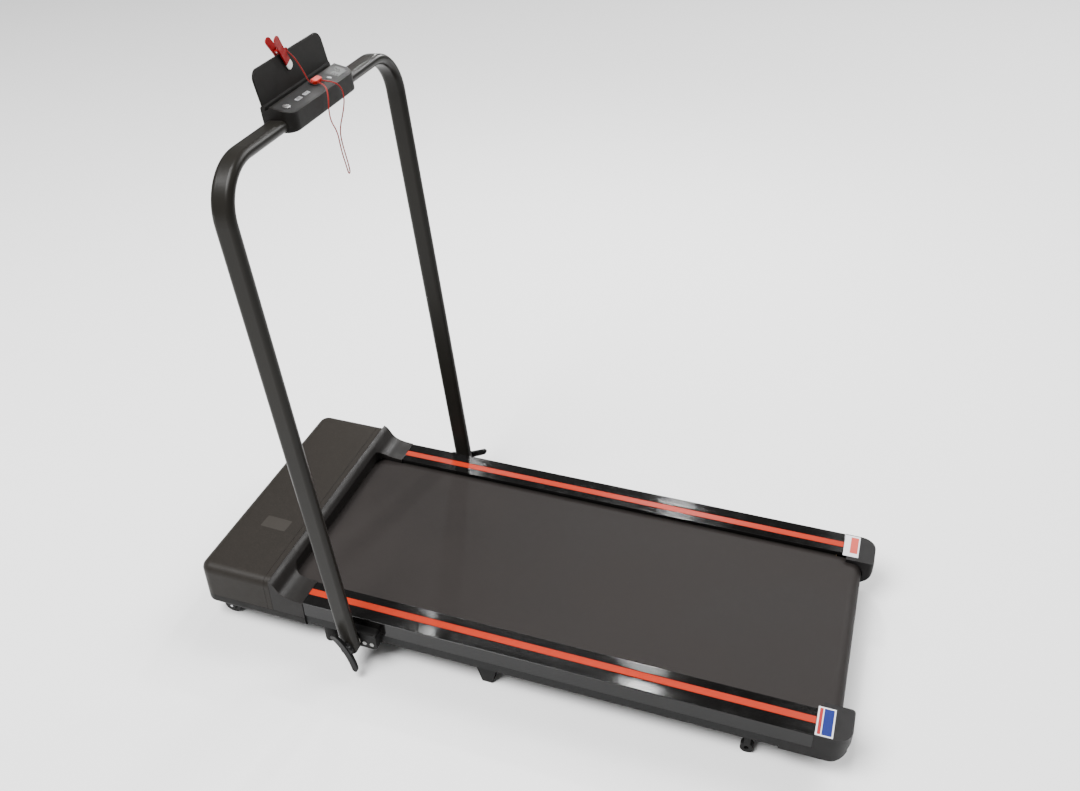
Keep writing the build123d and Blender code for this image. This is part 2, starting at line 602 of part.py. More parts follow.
def bottom_pan():
    """Shallow tray under the drive, open on top, with rounded lower edges."""
    rear = RAIL_FRONT_Y
    top = PARTING_Z - SEAM_GAP
    pan = along_z(hood_outline(0, rear=rear), PAN_BOTTOM_Z, top)
    low = pan.faces().sort_by(Axis.Z)[0]
    rim = [edge for edge in low.edges() if edge.center().Y < rear - 0.1]
    pan = fillet(rim, PAN_EDGE_RADIUS)
    core = along_z(hood_outline(PAN_WALL, rear=rear + 1), PAN_BOTTOM_Z + PAN_WALL, top + 1)
    low = core.faces().sort_by(Axis.Z)[0]
    rim = [edge for edge in low.edges() if edge.center().Y < rear - 0.1]
    return pan - fillet(rim, PAN_EDGE_RADIUS - PAN_WALL)


# ---------------------------------------------------------------- base: power inlet and switch
def power_inlet():
    """Three-pin inlet with a flange, its socket open to the front."""
    x, half, low, high = INLET_MOUTH
    edge = 2.0
    body = block(x - half, x + half, BASE_FRONT_Y, BASE_FRONT_Y + 24, low, high)
    body += block(
        x - half - edge, x + half + edge, BASE_FRONT_Y + HOOD_WALL, BASE_FRONT_Y + 7,
        low - edge, high + edge,
    )
    body -= block(x - half + 3, x + half - 3, BASE_FRONT_Y - 1, BASE_FRONT_Y + 19, low + 3, high - 3)
    middle = (low + high) / 2
    for dx, dz in ((-7, -3), (0, 3), (7, -3)):
        body += block(
            x + dx - 1, x + dx + 1, BASE_FRONT_Y + 7, BASE_FRONT_Y + 20,
            middle + dz - 2, middle + dz + 2,
        )
    return body


def switch_frame():
    """Bezel and body of the rocker switch."""
    x, half, low, high = SWITCH_MOUTH
    body = block(x - half, x + half, BASE_FRONT_Y, BASE_FRONT_Y + 20, low, high)
    body += block(
        x - half - 2, x + half + 2, BASE_FRONT_Y + HOOD_WALL, BASE_FRONT_Y + 6, low - 2, high + 2
    )
    room = (x - half + 2, x + half - 2, BASE_FRONT_Y - 1, BASE_FRONT_Y + 14, low + 2, high - 2)
    return body - block(*room)


def switch_rocker():
    """Rocking key of the switch, turning about X just behind its face."""
    x, half, low, high = SWITCH_MOUTH
    middle = (low + high) / 2
    reach = (high - low) / 2 - 3.4
    front = BASE_FRONT_Y
    key = outline(
        (front - 1.2, middle - reach), (front + 0.8, middle), (front + 1.2, middle + reach),
        (front + 5, middle + reach - 1), (front + 10, middle), (front + 4.5, middle - reach + 0.6),
    )
    return along_x(key, x - half + 2 + RUNNING_GAP, x + half - 2 - RUNNING_GAP)


# ---------------------------------------------------------------- base: foot rails and caps
def rib_places():
    """Middles along X of the small ribs, left of and right of the coloured stripe."""
    places = []
    inner_start = RAIL_INNER_X + 2.4
    outer_start = STRIPE_X + STRIPE_WIDTH / 2 + 2.4
    for start, stop in (
        (inner_start, STRIPE_X - STRIPE_WIDTH / 2 - 1.4),
        (outer_start, RAIL_OUTER_X - 3.4),
    ):
        count = int((stop - start) // RIB_PITCH) + 1
        places += [start + index * RIB_PITCH for index in range(count)]
    return places


def rail_section():
    """Section (X, Z) of a foot rail: top with ribs and a groove, outer skirt, inner lip, webs."""
    top = RAIL_TOP_Z - RIB_HEIGHT
    section = area(RAIL_INNER_X, RAIL_OUTER_X, top - RAIL_TOP_WALL, top)
    section += area(RAIL_OUTER_X - RAIL_WALL, RAIL_OUTER_X, RAIL_SKIRT_Z, top)
    section += area(RAIL_INNER_X, RAIL_INNER_X + 2.2, RAIL_LIP_Z, top)
    for x in (STRIPE_X - STRIPE_WIDTH / 2 - 2, DECK_HALF_WIDTH - 3):
        section += area(x, x + 2, DECK_TOP_Z, top)
    for x in rib_places():
        section += area(x - RIB_WIDTH / 2, x + RIB_WIDTH / 2, top - 0.5, RAIL_TOP_Z)
    for x in (RAIL_INNER_X + 0.6, RAIL_OUTER_X - 1.0):
        section += area(x - 0.6, x + 0.6 if x < STRIPE_X else RAIL_OUTER_X, top - 0.5, RAIL_TOP_Z)
    half = STRIPE_WIDTH / 2
    return section - area(STRIPE_X - half, STRIPE_X + half, RAIL_TOP_Z - STRIPE_DEPTH, RAIL_TOP_Z + 1)


def side_rail():
    """Foot rail between the collar's arm and the rear cap."""
    rail = along_y(rail_section(), RAIL_FRONT_Y + SEAM_GAP, RAIL_REAR_Y)
    near = (RAIL_OUTER_X - 0.01, RAIL_OUTER_X + 0.01)
    edges = rail.edges().filter_by(Axis.Y).filter_by_position(Axis.X, *near)
    return fillet(edges.sort_by(Axis.Z)[-1:], 1.0)


def rail_stripe():
    """Coloured inlay along the rail's groove, with softened edges."""
    half = STRIPE_WIDTH / 2
    section = area(STRIPE_X - half, STRIPE_X + half, RAIL_TOP_Z - STRIPE_DEPTH, RAIL_TOP_Z + 0.3)
    strip = along_y(section, RAIL_FRONT_Y + SEAM_GAP, RAIL_REAR_Y - FIT_GAP)
    upper = strip.edges().filter_by(Axis.Y).sort_by(Axis.Z)[-2:]
    return fillet(upper, 0.5)


def cap_plan(inset, front):
    """Plan of a rear cap with one large outer corner."""
    plan = area(CAP_INNER_X + inset, RAIL_OUTER_X - inset, front, BASE_REAR_Y - inset)
    corners = plan.vertices().sort_by(Axis.Y)[-2:].sort_by(Axis.X)
    plan = fillet(corners[-1:], CAP_CORNER_RADIUS - inset)
    corner = plan.vertices().sort_by_distance((CAP_INNER_X + inset, BASE_REAR_Y - inset))[:1]
    return fillet(corner, 8 - inset)


def cap_side(inset):
    """Side view (Y, Z) of a rear cap: flat top, large round below the rear edge."""
    low = FRAME_BOTTOM_Z - CAP_WALL + inset
    high = RAIL_TOP_Z - inset
    radius = CAP_UNDER_RADIUS - inset
    view = area(CAP_WING_Y - 2 * inset, BASE_REAR_Y - inset, low, high)
    corner = view.vertices().sort_by_distance((BASE_REAR_Y - inset, low))[:1]
    view = fillet(corner, radius)
    corner = view.vertices().sort_by_distance((BASE_REAR_Y - inset, high))[:1]
    return fillet(corner, 3 - inset)


def end_cap():
    """Rear cap: a hollow end piece with a low wing forward along the frame side."""
    front = CAP_WING_Y
    form = along_z(cap_plan(0, front), 0, RAIL_TOP_Z + 1)
    form &= along_x(cap_side(0), CAP_INNER_X, RAIL_OUTER_X)
    core = along_z(cap_plan(CAP_WALL, front - 1), 0, RAIL_TOP_Z + 1)
    core &= along_x(cap_side(CAP_WALL), CAP_INNER_X, RAIL_OUTER_X)
    cap = form - core
    cap -= block(0, RAIL_OUTER_X + 1, front - 1, RAIL_REAR_Y + SEAM_GAP, RAIL_SKIRT_Z - SEAM_GAP, 200)
    cap -= block(0, FRAME_INNER_X, front - 1, RAIL_REAR_Y + SEAM_GAP, 0, 200)
    clear = BELT_OUTER_RADIUS + 2
    cap -= rod_x(clear, 0, ROLLER_HALF + 2, REAR_ROLLER_Y, ROLLER_Z)
    cap -= block(0, ROLLER_HALF + 2, front, REAR_ROLLER_Y, ROLLER_Z - clear, BELT_TOP_Z + 2)
    cap -= block(0, RAIL_INNER_X - 2, front, RAIL_REAR_Y + 9, 0, 200)
    cap -= rod_y(7, BOLT_HEAD_Y + 3, BASE_REAR_Y + 1, FRAME_MIDDLE_X, ROLLER_Z)
    return max(cap.solids(), key=lambda solid: solid.volume)


def rear_label():
    """Thin plain label across the end of a rail and the start of its cap."""
    base = RAIL_REAR_Y + 1
    return block(
        STRIPE_X - LABEL_HALF_LENGTH, STRIPE_X + LABEL_HALF_LENGTH, base, base + LABEL_WIDTH,
        RAIL_TOP_Z, RAIL_TOP_Z + LABEL_THICKNESS,
    )


# ---------------------------------------------------------------- base: feet and wheels
def ring_foot():
    """Rubber ring standing on edge under the frame, on a short neck."""
    x = FRAME_MIDDLE_X + 4.7
    x0 = x - FOOT_RING_WIDTH / 2
    x1 = x + FOOT_RING_WIDTH / 2
    foot = rod_x(FOOT_RING_RADIUS, x0, x1, FOOT_RING_Y, FOOT_RING_RADIUS)
    foot += block(x0, x1, FOOT_RING_Y - 6, FOOT_RING_Y + 6, FOOT_RING_RADIUS, FRAME_BOTTOM_Z)
    return foot - rod_x(FOOT_RING_HOLE, x0 - 1, x1 + 1, FOOT_RING_Y, FOOT_RING_RADIUS)


def mid_foot():
    """Wedge-shaped rubber foot under the middle of the frame."""
    y = MID_FOOT_Y
    side = outline((y - 26, FRAME_BOTTOM_Z), (y - 12, 0), (y + 10, 0), (y + 20, FRAME_BOTTOM_Z))
    foot = along_x(side, FRAME_INNER_X + 9.7, FRAME_OUTER_X - 10.3)
    return fillet(foot.edges().filter_by(Axis.X).sort_by(Axis.Z)[:2], 3)


def front_foot():
    """Round rubber foot behind the pan."""
    foot = rod_z(FRONT_FOOT_RADIUS, 0, FRAME_BOTTOM_Z, FRAME_INNER_X + 18.7, FRONT_FOOT_Y)
    return fillet(foot.edges().sort_by(Axis.Z)[:1], 2)


def transport_wheel():
    """Small wheel under the front corner, with a rounded tread."""
    half = WHEEL_WIDTH / 2
    wheel = rod_x(WHEEL_RADIUS, WHEEL_X - half, WHEEL_X + half, WHEEL_Y, WHEEL_RADIUS)
    wheel = fillet(wheel.edges().filter_by(GeomType.CIRCLE), 2.5)
    bore = WHEEL_AXLE_RADIUS + SHAFT_GAP
    return wheel - rod_x(bore, WHEEL_X - 20, WHEEL_X + 20, WHEEL_Y, WHEEL_RADIUS)


def wheel_fork():
    """Two cheeks and a bridge under the pan that carry the wheel's axle."""
    inner = WHEEL_WIDTH / 2 + FORK_GAP
    outer = inner + FORK_CHEEK
    cheek = outline(
        (WHEEL_Y - 16, PAN_BOTTOM_Z), (WHEEL_Y - 7, WHEEL_RADIUS - 8), (WHEEL_Y + 7, WHEEL_RADIUS - 8),
        (WHEEL_Y + 16, PAN_BOTTOM_Z),
    )
    fork = along_x(cheek, WHEEL_X - outer, WHEEL_X - inner)
    fork += along_x(cheek, WHEEL_X + inner, WHEEL_X + outer)
    bridge_z = PAN_BOTTOM_Z - FORK_BRIDGE
    fork += block(WHEEL_X - outer, WHEEL_X + outer, WHEEL_Y - 14, WHEEL_Y + 14, bridge_z, PAN_BOTTOM_Z)
    return fork - wheel_axle()


def wheel_axle():
    """Axle of a transport wheel."""
    reach = WHEEL_WIDTH / 2 + FORK_GAP + FORK_CHEEK
    return rod_x(WHEEL_AXLE_RADIUS, WHEEL_X - reach, WHEEL_X + reach, WHEEL_Y, WHEEL_RADIUS)


# ---------------------------------------------------------------- base: handrail pivots
def pivot_bracket():
    """Boss bolted to the frame side that spaces the handrail's arm out from the rail."""
    plan = area(PIVOT_Y - 25, PIVOT_Y + 52, FRAME_BOTTOM_Z + 1, PIVOT_Z + 24)
    plan = fillet(plan.vertices().sort_by(Axis.X)[:2], 17)
    plan = fillet(plan.vertices().sort_by(Axis.X)[-2:], 6)
    boss = along_x(plan, RAIL_OUTER_X, BRACKET_OUTER_X)
    foot = area(PIVOT_Y - 25, PIVOT_Y + 52, FRAME_BOTTOM_Z + 1, RAIL_SKIRT_Z - SEAM_GAP)
    boss += along_x(foot, FRAME_OUTER_X, RAIL_OUTER_X)
    return boss - rod_x(STUD_RADIUS, FRAME_INNER_X, BRACKET_OUTER_X + 1, PIVOT_Y, PIVOT_Z)


def pivot_washer():
    """Thin nylon disc between the boss and the arm."""
    outer = TUBE_X - TUBE_THIN / 2 - RUNNING_GAP
    disc = rod_x(WASHER_RADIUS, BRACKET_OUTER_X, outer, PIVOT_Y, PIVOT_Z)
    return disc - rod_x(STUD_RADIUS, BRACKET_OUTER_X - 1, outer + 1, PIVOT_Y, PIVOT_Z)


def pivot_stud():
    """Stud from the frame side, through the arm, into the clamp knob."""
    outer = TUBE_X + TUBE_THIN / 2
    return rod_x(STUD_RADIUS, FRAME_OUTER_X, outer + STUD_IN_KNOB - 1, PIVOT_Y, PIVOT_Z)


def clamp_knob(turn):
    """Two-armed clamp knob with a round hub, its arms bowed outwards."""
    inner = TUBE_X + TUBE_THIN / 2 + RUNNING_GAP
    tip_x, root_x = KNOB_BOW + 5, 5
    low_arc = ThreePointArc((tip_x, -KNOB_REACH), (root_x, 0), (tip_x, KNOB_REACH))
    high_arc = ThreePointArc((tip_x + 5, KNOB_REACH), (root_x + 8, 0), (tip_x + 5, -KNOB_REACH))
    ends = Line(low_arc @ 1, high_arc @ 0) + Line(high_arc @ 1, low_arc @ 0)
    side = make_face(low_arc + high_arc + ends)
    bar = extrude(side, amount=KNOB_WIDTH / 2, both=True)
    bar &= along_x(SlotOverall(2 * KNOB_REACH, KNOB_WIDTH), 0, tip_x + 6)
    hub = rod_x(12, 0, 11, 0, 0)
    hub = fillet(hub.edges().filter_by(GeomType.CIRCLE).sort_by(Axis.X)[-1:], 2.5)
    knob = hub + bar - rod_x(STUD_RADIUS + SHAFT_GAP, -1, STUD_IN_KNOB, 0, 0)
    return Pos(inner, PIVOT_Y, PIVOT_Z) * Rot(turn, 0, 0) * knob


# ---------------------------------------------------------------- handrail
def flat_oval(trim):
    """Section of the handrail tube, broad side along U, made smaller by a trim all round."""
    return SlotOverall(TUBE_BROAD - 2 * trim, TUBE_THIN - 2 * trim, rotation=90)


def rail_path():
    """Middle line of the tube in the handrail's frame: up, across and down."""
    low = -ARM_LENGTH - TUBE_BROAD / 2
    points = [(-TUBE_X, 0, low), (-TUBE_X, 0, 0), (TUBE_X, 0, 0), (TUBE_X, 0, low)]
    return FilletPolyline(*points, radius=BEND_RADIUS)


def handrail_tube():
    """One bent flat-oval tube, hollow, with its feet rounded about the pivots."""
    path = rail_path()
    start = Plane(origin=path @ 0, x_dir=(1, 0, 0), z_dir=path % 0)
    tube = sweep(start * flat_oval(0), path=path)
    tube -= sweep(start * flat_oval(TUBE_WALL), path=path)
    for side in (-1, 1):
        x = side * TUBE_X
        low = -ARM_LENGTH
        reach = TUBE_BROAD / 2
        half = TUBE_THIN / 2 + 2
        ends = block(x - half, x + half, -reach - 1, reach + 1, low - reach - 1, low)
        ends -= rod_x(reach, x - half - 1, x + half + 1, 0, low)
        tube -= ends
        tube -= rod_x(STUD_RADIUS + SHAFT_GAP, x - half, x + half, 0, low)
    return RAIL_FRAME * tube


def end_plug(side):
    """Plastic plug that closes the foot of an arm and lines the pivot hole."""
    x = side * TUBE_X
    low = -ARM_LENGTH
    reach = TUBE_BROAD / 2 - TUBE_WALL - FIT_GAP / 2
    half = TUBE_THIN / 2 - TUBE_WALL - FIT_GAP / 2
    oval = SlotOverall(2 * reach, 2 * half, rotation=90)
    plug = Pos(x, 0, low - reach) * extrude(oval, amount=24 + reach)
    plug &= rod_x(reach, x - half, x + half, 0, low) + block(x - half, x + half, -reach, reach, low, low + 40)
    return RAIL_FRAME * (plug - rod_x(STUD_RADIUS + SHAFT_GAP, x - half - 1, x + half + 1, 0, low))


# ---------------------------------------------------------------- console
def console_plan(inset):
    """Plan (X, U) of the console with two large corners on the walker's side."""
    half = CONSOLE_HALF_WIDTH - inset
    plan = area(-half, half, CONSOLE_BACK_U + inset, CONSOLE_FACE_U - inset)
    return fillet(plan.vertices().sort_by(Axis.Y)[-2:], CONSOLE_CORNER - inset)


def crossbar(grow):
    """The straight of the crossbar, for cutting its way through the console."""
    width = CONSOLE_HALF_WIDTH + 5
    oval = SlotOverall(TUBE_BROAD + 2 * grow, TUBE_THIN + 2 * grow)
    return along_x(oval, -width, width)


def console_housing():
    """Lower half of the console, a tub that the crossbar passes through."""
    tub = along_z(console_plan(0), CONSOLE_BOTTOM_V, CONSOLE_SPLIT_V)
    low = tub.faces().sort_by(Axis.Z)[0]
    tub = fillet(low.edges(), 5)
    tub -= along_z(console_plan(CONSOLE_WALL), CONSOLE_BOTTOM_V + CONSOLE_WALL, CONSOLE_SPLIT_V + 1)
    return RAIL_FRAME * (tub - crossbar(0.02))


def cover_side(wall):
    """Side view (U, V) of the console's upper half, or of its hollow when given a wall."""
    low = CONSOLE_SPLIT_V - (1 if wall else 0)
    ridge_u = CONSOLE_RIDGE_U + (1 if wall else 0)
    return outline(
        (CONSOLE_BACK_U, low), (CONSOLE_FACE_U, low), (CONSOLE_FACE_U, CONSOLE_FRONT_V - wall),
        (ridge_u, CONSOLE_RIDGE_V - wall), (ridge_u, CONSOLE_GUTTER_V - wall),
        (CONSOLE_BACK_U, CONSOLE_GUTTER_V - wall),
    )


def panel(u0, u1, x0, x1, above, below):
    """A slab lying on the console's sloping face, between two heights over it."""
    length = (u1 - u0) / math.cos(SLOPE)
    face_v = CONSOLE_RIDGE_V - (u0 - CONSOLE_RIDGE_U) * math.tan(SLOPE)
    slab = block(x0, x1, 0, length, below, above)
    return Pos(0, u0, face_v) * Rot(-math.degrees(SLOPE), 0, 0) * slab


def on_face(x, u):
    """A place on the console's sloping face, with its Z square to the face."""
    face_v = CONSOLE_RIDGE_V - (u - CONSOLE_RIDGE_U) * math.tan(SLOPE)
    return Pos(x, u, face_v) * Rot(-math.degrees(SLOPE), 0, 0)


def button_holes():
    """All the button shapes, a gap larger, through the console's face and cover."""
    gap = BUTTON_GAP
    x, u, radius = ROUND_BUTTON
    holes = [on_face(x, u) * Cylinder(radius + gap, 20)]
    for _, x, u in ROCKERS:
        holes.append(on_face(x, u) * Box(ROCKER_LENGTH + 2 * gap, ROCKER_WIDTH + 2 * gap, 20))
    x, u, radius = SMALL_BUTTON
    holes.append(on_face(x, u) * Cylinder(radius + gap, 20))
    return holes


def console_cover():
    """Upper half of the console: sloping face, gutter for a tablet's edge, hollow below."""
    cover = along_x(cover_side(0), -CONSOLE_HALF_WIDTH, CONSOLE_HALF_WIDTH)
    cover &= along_z(console_plan(0), CONSOLE_SPLIT_V, 60)
    core = along_x(cover_side(CONSOLE_WALL), -CONSOLE_HALF_WIDTH, CONSOLE_HALF_WIDTH)
    core &= along_z(console_plan(CONSOLE_WALL), CONSOLE_SPLIT_V - 2, 60)
    cover -= core
    cover -= face_slab(FIT_GAP / 2)
    cover -= key_pocket()
    for hole in button_holes():
        cover -= hole
    return RAIL_FRAME * cover


def face_slab(grow):
    """The inlaid face panel's form, grown all round by a gap."""
    half = FACE_HALF + grow
    slab = panel(FACE_U[0] - grow, FACE_U[1] + grow, -half, half, 3, -FACE_THICKNESS)
    return slab & along_z(console_plan(4 - grow), 0, 60)


def key_pocket():
    """Round-ended pocket that the safety key's socket fills."""
    shape = extrude(RectangleRounded(KEY_LENGTH + 9, KEY_WIDTH + 7, 6), amount=30, both=True)
    return on_face(KEY_X, KEY_U) * shape


def console_face():
    """Thin dark panel let into the cover, with windows for the display, key and buttons."""
    slab = face_slab(0) & panel(-30, 60, -200, 200, 0, -FACE_THICKNESS)
    slab -= key_pocket()
    x0, x1, u0, u1 = DISPLAY
    slab -= panel(u0, u1, x0, x1, 5, -5)
    for hole in button_holes():
        slab -= hole
    return RAIL_FRAME * slab


def display_window():
    """Clear window over the display, a little proud of the face."""
    x0, x1, u0, u1 = DISPLAY
    window = panel(u0, u1, x0, x1, 0.4, -FACE_THICKNESS)
    return RAIL_FRAME * window


def key_socket():
    """Socket for the magnetic key: a rimmed cup with a flat floor, in the console's face."""
    rim = extrude(RectangleRounded(KEY_LENGTH + 9, KEY_WIDTH + 7, 6), amount=5.2)
    cup = extrude(RectangleRounded(KEY_LENGTH + 2.4, KEY_WIDTH + 2.4, 5), amount=6)
    socket = Pos(0, 0, -4.2) * rim - Pos(0, 0, -0.8) * cup
    return RAIL_FRAME * (on_face(KEY_X, KEY_U) * socket)


def round_button():
    """Start and stop button with a dished top and a stem that stops it falling out."""
    x, u, radius = ROUND_BUTTON
    button = Pos(0, 0, -1.0) * Cylinder(radius, 2 * BUTTON_HEIGHT)
    button = fillet(button.edges().sort_by(Axis.Z)[-1:], 0.8)
    button -= Pos(0, 0, BUTTON_HEIGHT + 22.7) * Sphere(24)
    return RAIL_FRAME * (on_face(x, u) * button)


def rocker_button(x, u):
    """Oblong metal-look key with rounded top edges."""
    key = Pos(0, 0, -1.0) * Box(ROCKER_LENGTH, ROCKER_WIDTH, 2 * BUTTON_HEIGHT)
    key = fillet(key.edges().filter_by(Axis.Z), 1.5)
    key = fillet(key.faces().sort_by(Axis.Z)[-1].edges(), 0.8)
    return RAIL_FRAME * (on_face(x, u) * key)


def small_button():
    """Small round key beside the display."""
    x, u, radius = SMALL_BUTTON
    button = Pos(0, 0, -1.0) * Cylinder(radius, 2 * BUTTON_HEIGHT)
    button = fillet(button.edges().sort_by(Axis.Z)[-1:], 0.6)
    return RAIL_FRAME * (on_face(x, u) * button)


def button_board():
    """Circuit board under the buttons, held below the cover with room for their travel."""
    top = -1.0 - BUTTON_HEIGHT - BUTTON_TRAVEL - 2.0
    half = FACE_HALF - 8.5
    board = panel(FACE_U[0] + 4, FACE_U[1] - 4, -half, half, top, top - 1.6)
    return RAIL_FRAME * (board - key_pocket())


def plate_place():
    """The tablet plate's frame: origin on its base line, V along the plate."""
    return Pos(0, PLATE_BASE_U, CONSOLE_GUTTER_V) * Rot(PLATE_LEAN, 0, 0)


def tablet_holder():
    """Plate with two large top corners on a foot that closes the back of the gutter."""
    half = CONSOLE_HALF_WIDTH
    plate = area(-half, half, 0, PLATE_RISE)
    plate = fillet(plate.vertices().sort_by(Axis.Y)[-2:], PLATE_CORNER)
    solid = along_y(plate, -PLATE_THICKNESS / 2, PLATE_THICKNESS / 2)
    rim = solid.faces().sort_by(Axis.Y)[-1].edges().filter_by_position(Axis.Z, 1, PLATE_RISE + 1)
    solid = fillet(rim, 0.8)
    foot = outline((-5.8, 0), (2.6, 0), (2.6, 5.5), (1.7, 8.6), (-1.7, 8.6), (-5.8, 5.0))
    base = along_x(foot, -half, half)
    holder = plate_place() * solid
    holder += Pos(0, PLATE_BASE_U, CONSOLE_GUTTER_V) * base
    holder -= block(-200, 200, -60, 30, 0, CONSOLE_GUTTER_V)
    return RAIL_FRAME * holder


# ---------------------------------------------------------------- tether
def safety_key():
    """Oblong magnetic key with a rounded top, standing on the socket's floor."""
    form = extrude(RectangleRounded(KEY_LENGTH, KEY_WIDTH, 4), amount=KEY_HEIGHT)
    form = fillet(form.faces().sort_by(Axis.Z)[-1].edges(), 1.8)
    return RAIL_FRAME * (on_face(KEY_X, KEY_U) * Pos(0, 0, -0.8) * form)


def clip_place():
    """The clip's frame: origin at its pin, Z along the clip, Y towards the walker."""
    return plate_place() * Pos(CLIP_X, 0, PLATE_RISE + CLIP_ABOVE) * Rot(0, CLIP_TILT, 0)


def clip_side(sign):
    """Side view (Y, Z) of one half of the clip, opening towards its squeezed end."""
    near = PLATE_THICKNESS / 2 + FIT_GAP
    run = [(near, -CLIP_LOW), (near + 2.4, -CLIP_LOW), (7.0, -6), (7.4, 2), (10.0, CLIP_HIGH),
           (7.8, CLIP_HIGH), (5.0, 1), (near + 1.6, -12)]
    return outline(*[(sign * y, z) for y, z in run])


def clip_half(sign, ear_in, ear_out, bore):
    """One half of the clip: a tapered blade with rounded ends and two ears on the pin."""
    blade = along_x(clip_side(sign), -CLIP_WIDTH / 2, CLIP_WIDTH / 2)
    plan = Pos(0, (CLIP_HIGH - CLIP_LOW) / 2) * RectangleRounded(CLIP_WIDTH, CLIP_LOW + CLIP_HIGH, 6)
    blade &= along_y(plan, -12, 12)
    for side in (-1, 1):
        low, high = sorted((side * ear_in, side * ear_out))
        ear = rod_x(3, low, high, 0, 0)
        ear += block(low, high, *sorted((0, sign * 5.6)), -3, 3)
        blade += ear - rod_x(bore, low - 1, high + 1, 0, 0)
    return blade


def clip_jaw():
    """The clip's half on the walker's side, with the eye that the cord is tied to."""
    half = clip_half(1, 2.2, 4.2, CLIP_PIN_RADIUS)
    half -= block(-10, 10, -12, 12, -CLIP_LOW - 1, -CLIP_LOW + CLIP_PAD)
    eye = Pos(-CLIP_WIDTH / 2 - 3.2, 5.6, -9.6) * Rot(90, 0, 0) * Cylinder(3.4, 2)
    eye += block(-CLIP_WIDTH / 2 - 3, -CLIP_WIDTH / 2 + 1, 4.6, 6.6, -12.4, -6.8)
    eye -= Pos(-CLIP_WIDTH / 2 - 3.2, 5.6, -9.6) * Rot(90, 0, 0) * Cylinder(1.5, 4)
    return RAIL_FRAME * (clip_place() * (half + eye))


def clip_pad():
    """Pale tip of the clip's half on the walker's side."""
    half = clip_half(1, 2.2, 4.2, CLIP_PIN_RADIUS)
    half &= block(-10, 10, -12, 12, -CLIP_LOW - 1, -CLIP_LOW + CLIP_PAD)
    return RAIL_FRAME * (clip_place() * half)


def clip_lever():
    """The clip's other half, which turns on the pin when its top is squeezed."""
    return RAIL_FRAME * (clip_place() * clip_half(-1, 4.6, 6.4, CLIP_PIN_RADIUS + SHAFT_GAP))


def clip_pin():
    """Pin across the clip."""
    return RAIL_FRAME * (clip_place() * rod_x(CLIP_PIN_RADIUS, -6.8, 6.8, 0, 0))


def clip_spring():
    """Coil of the clip's spring on the pin, with its leg against the fixed half."""
    coil = rod_x(3.0, -1.9, 1.9, 0, 0) - rod_x(CLIP_PIN_RADIUS, -3, 3, 0, 0)
    coil += block(-1.9, -1.1, 2.0, 4.9, 1.4, 2.8)
    return RAIL_FRAME * (clip_place() * coil)


# Routes on the handrail's own frame: X across, U to the walker, V up from the crossbar's middle.
# The hanging loop goes from the key over the console's edge, down to a tight fold and back.
LOOP_ROUTE = [
    (-18.0, 11.5, 29.0), (-17.8, 17.9, 27.2), (-11.5, 27.4, 25.4), (-2.5, 36.0, 21.1), (6.5, 40.7, 9.9),
    (11.5, 40.2, -5.2), (11.0, 38.2, -20.5), (4.5, 35.9, -34.9), (-5.0, 34.0, -47.7),
    (-12.5, 31.9, -62.6), (-15.8, 29.6, -80.5), (-18.6, 28.3, -98.9), (-22.6, 27.5, -116.9),
    (-26.0, 26.8, -131.4), (-28.6, 26.1, -141.9), (-33.8, 26.4, -141.4), (-32.2, 27.6, -131.0),
    (-28.8, 29.0, -116.1), (-24.4, 30.1, -97.6), (-21.4, 30.9, -79.6), (-19.0, 32.8, -62.7),
    (-22.0, 34.9, -48.8), (-30.5, 36.5, -36.9), (-39.0, 38.2, -24.1), (-44.0, 40.2, -9.2),
    (-43.5, 41.0, 6.8), (-39.0, 36.9, 19.3), (-33.0, 27.5, 25.6), (-30.2, 18.2, 27.2),
    (-30.0, 11.5, 29.0),
]

# The lead goes from the key's end up to the eye of the clip.
LEAD_ROUTE = [
    (-11.8, 5.5, 30.8), (-7.2, 5.6, 31.3), (-3.4, 4.8, 34.4), (-2.0, 2.8, 40.0), (-2.0, -0.4, 50.2),
    (-1.0, -5.1, 63.1), (0.6, -10.2, 75.5), (3.4, -15.3, 84.7), (6.2, -19.0, 90.3),
]


def cord(route):
    """A round cord along straight runs joined by tangent arcs, and its printed radii."""
    points = [RAIL_FRAME.from_local_coords(Vector(*place)) for place in route]
    radii = []
    for before, here, after in zip(points, points[1:], points[2:]):
        turn = math.radians((here - before).get_angle(after - here))
        shorter = min((here - before).length, (after - here).length)
        radii.append(0.45 * shorter / math.tan(turn / 2))
    path = FilletPolyline(*points, radius=radii)
    start = Plane(origin=path @ 0, z_dir=path % 0)
    tube = sweep(start * Circle(CORD_RADIUS), path=path)
    section = math.pi * CORD_RADIUS**2
    ratio = tube.volume / section / path.length
    print("cord length", round(path.length, 1), "volume ratio", round(ratio, 3))
    print("radii", [round(radius, 1) for radius in radii])
    return tube


# ---------------------------------------------------------------- small fasteners
def cover_screws():
    """Screws that hold the pan's and the hood's edges, seen from below."""
    screws = []
    low, high = PAN_BOTTOM_Z - 1.5, PAN_BOTTOM_Z
    outer = HOOD_HALF_WIDTH - 52
    for x in (-outer, -75.0, 75.0, outer):
        for y in (FRONT_ROLLER_Y - 20, RAIL_FRONT_Y - 30.4):
            head = rod_z(4, low, high, x, y)
            screws.append(head - block(x - 3, x + 3, y - 0.5, y + 0.5, low - 1, low + 0.8))
    return screws


def bracket_bolts():
    """Two hexagon-head bolts through each pivot boss into the frame side."""
    bolts = []
    for y in (PIVOT_Y + 26, PIVOT_Y + 42):
        hexagon = Pos(y, PIVOT_Z - 2) * RegularPolygon(5.0, 6)
        head = along_x(hexagon, BRACKET_OUTER_X, BRACKET_OUTER_X + 1)
        bolts += [head, right(head)]
    return bolts


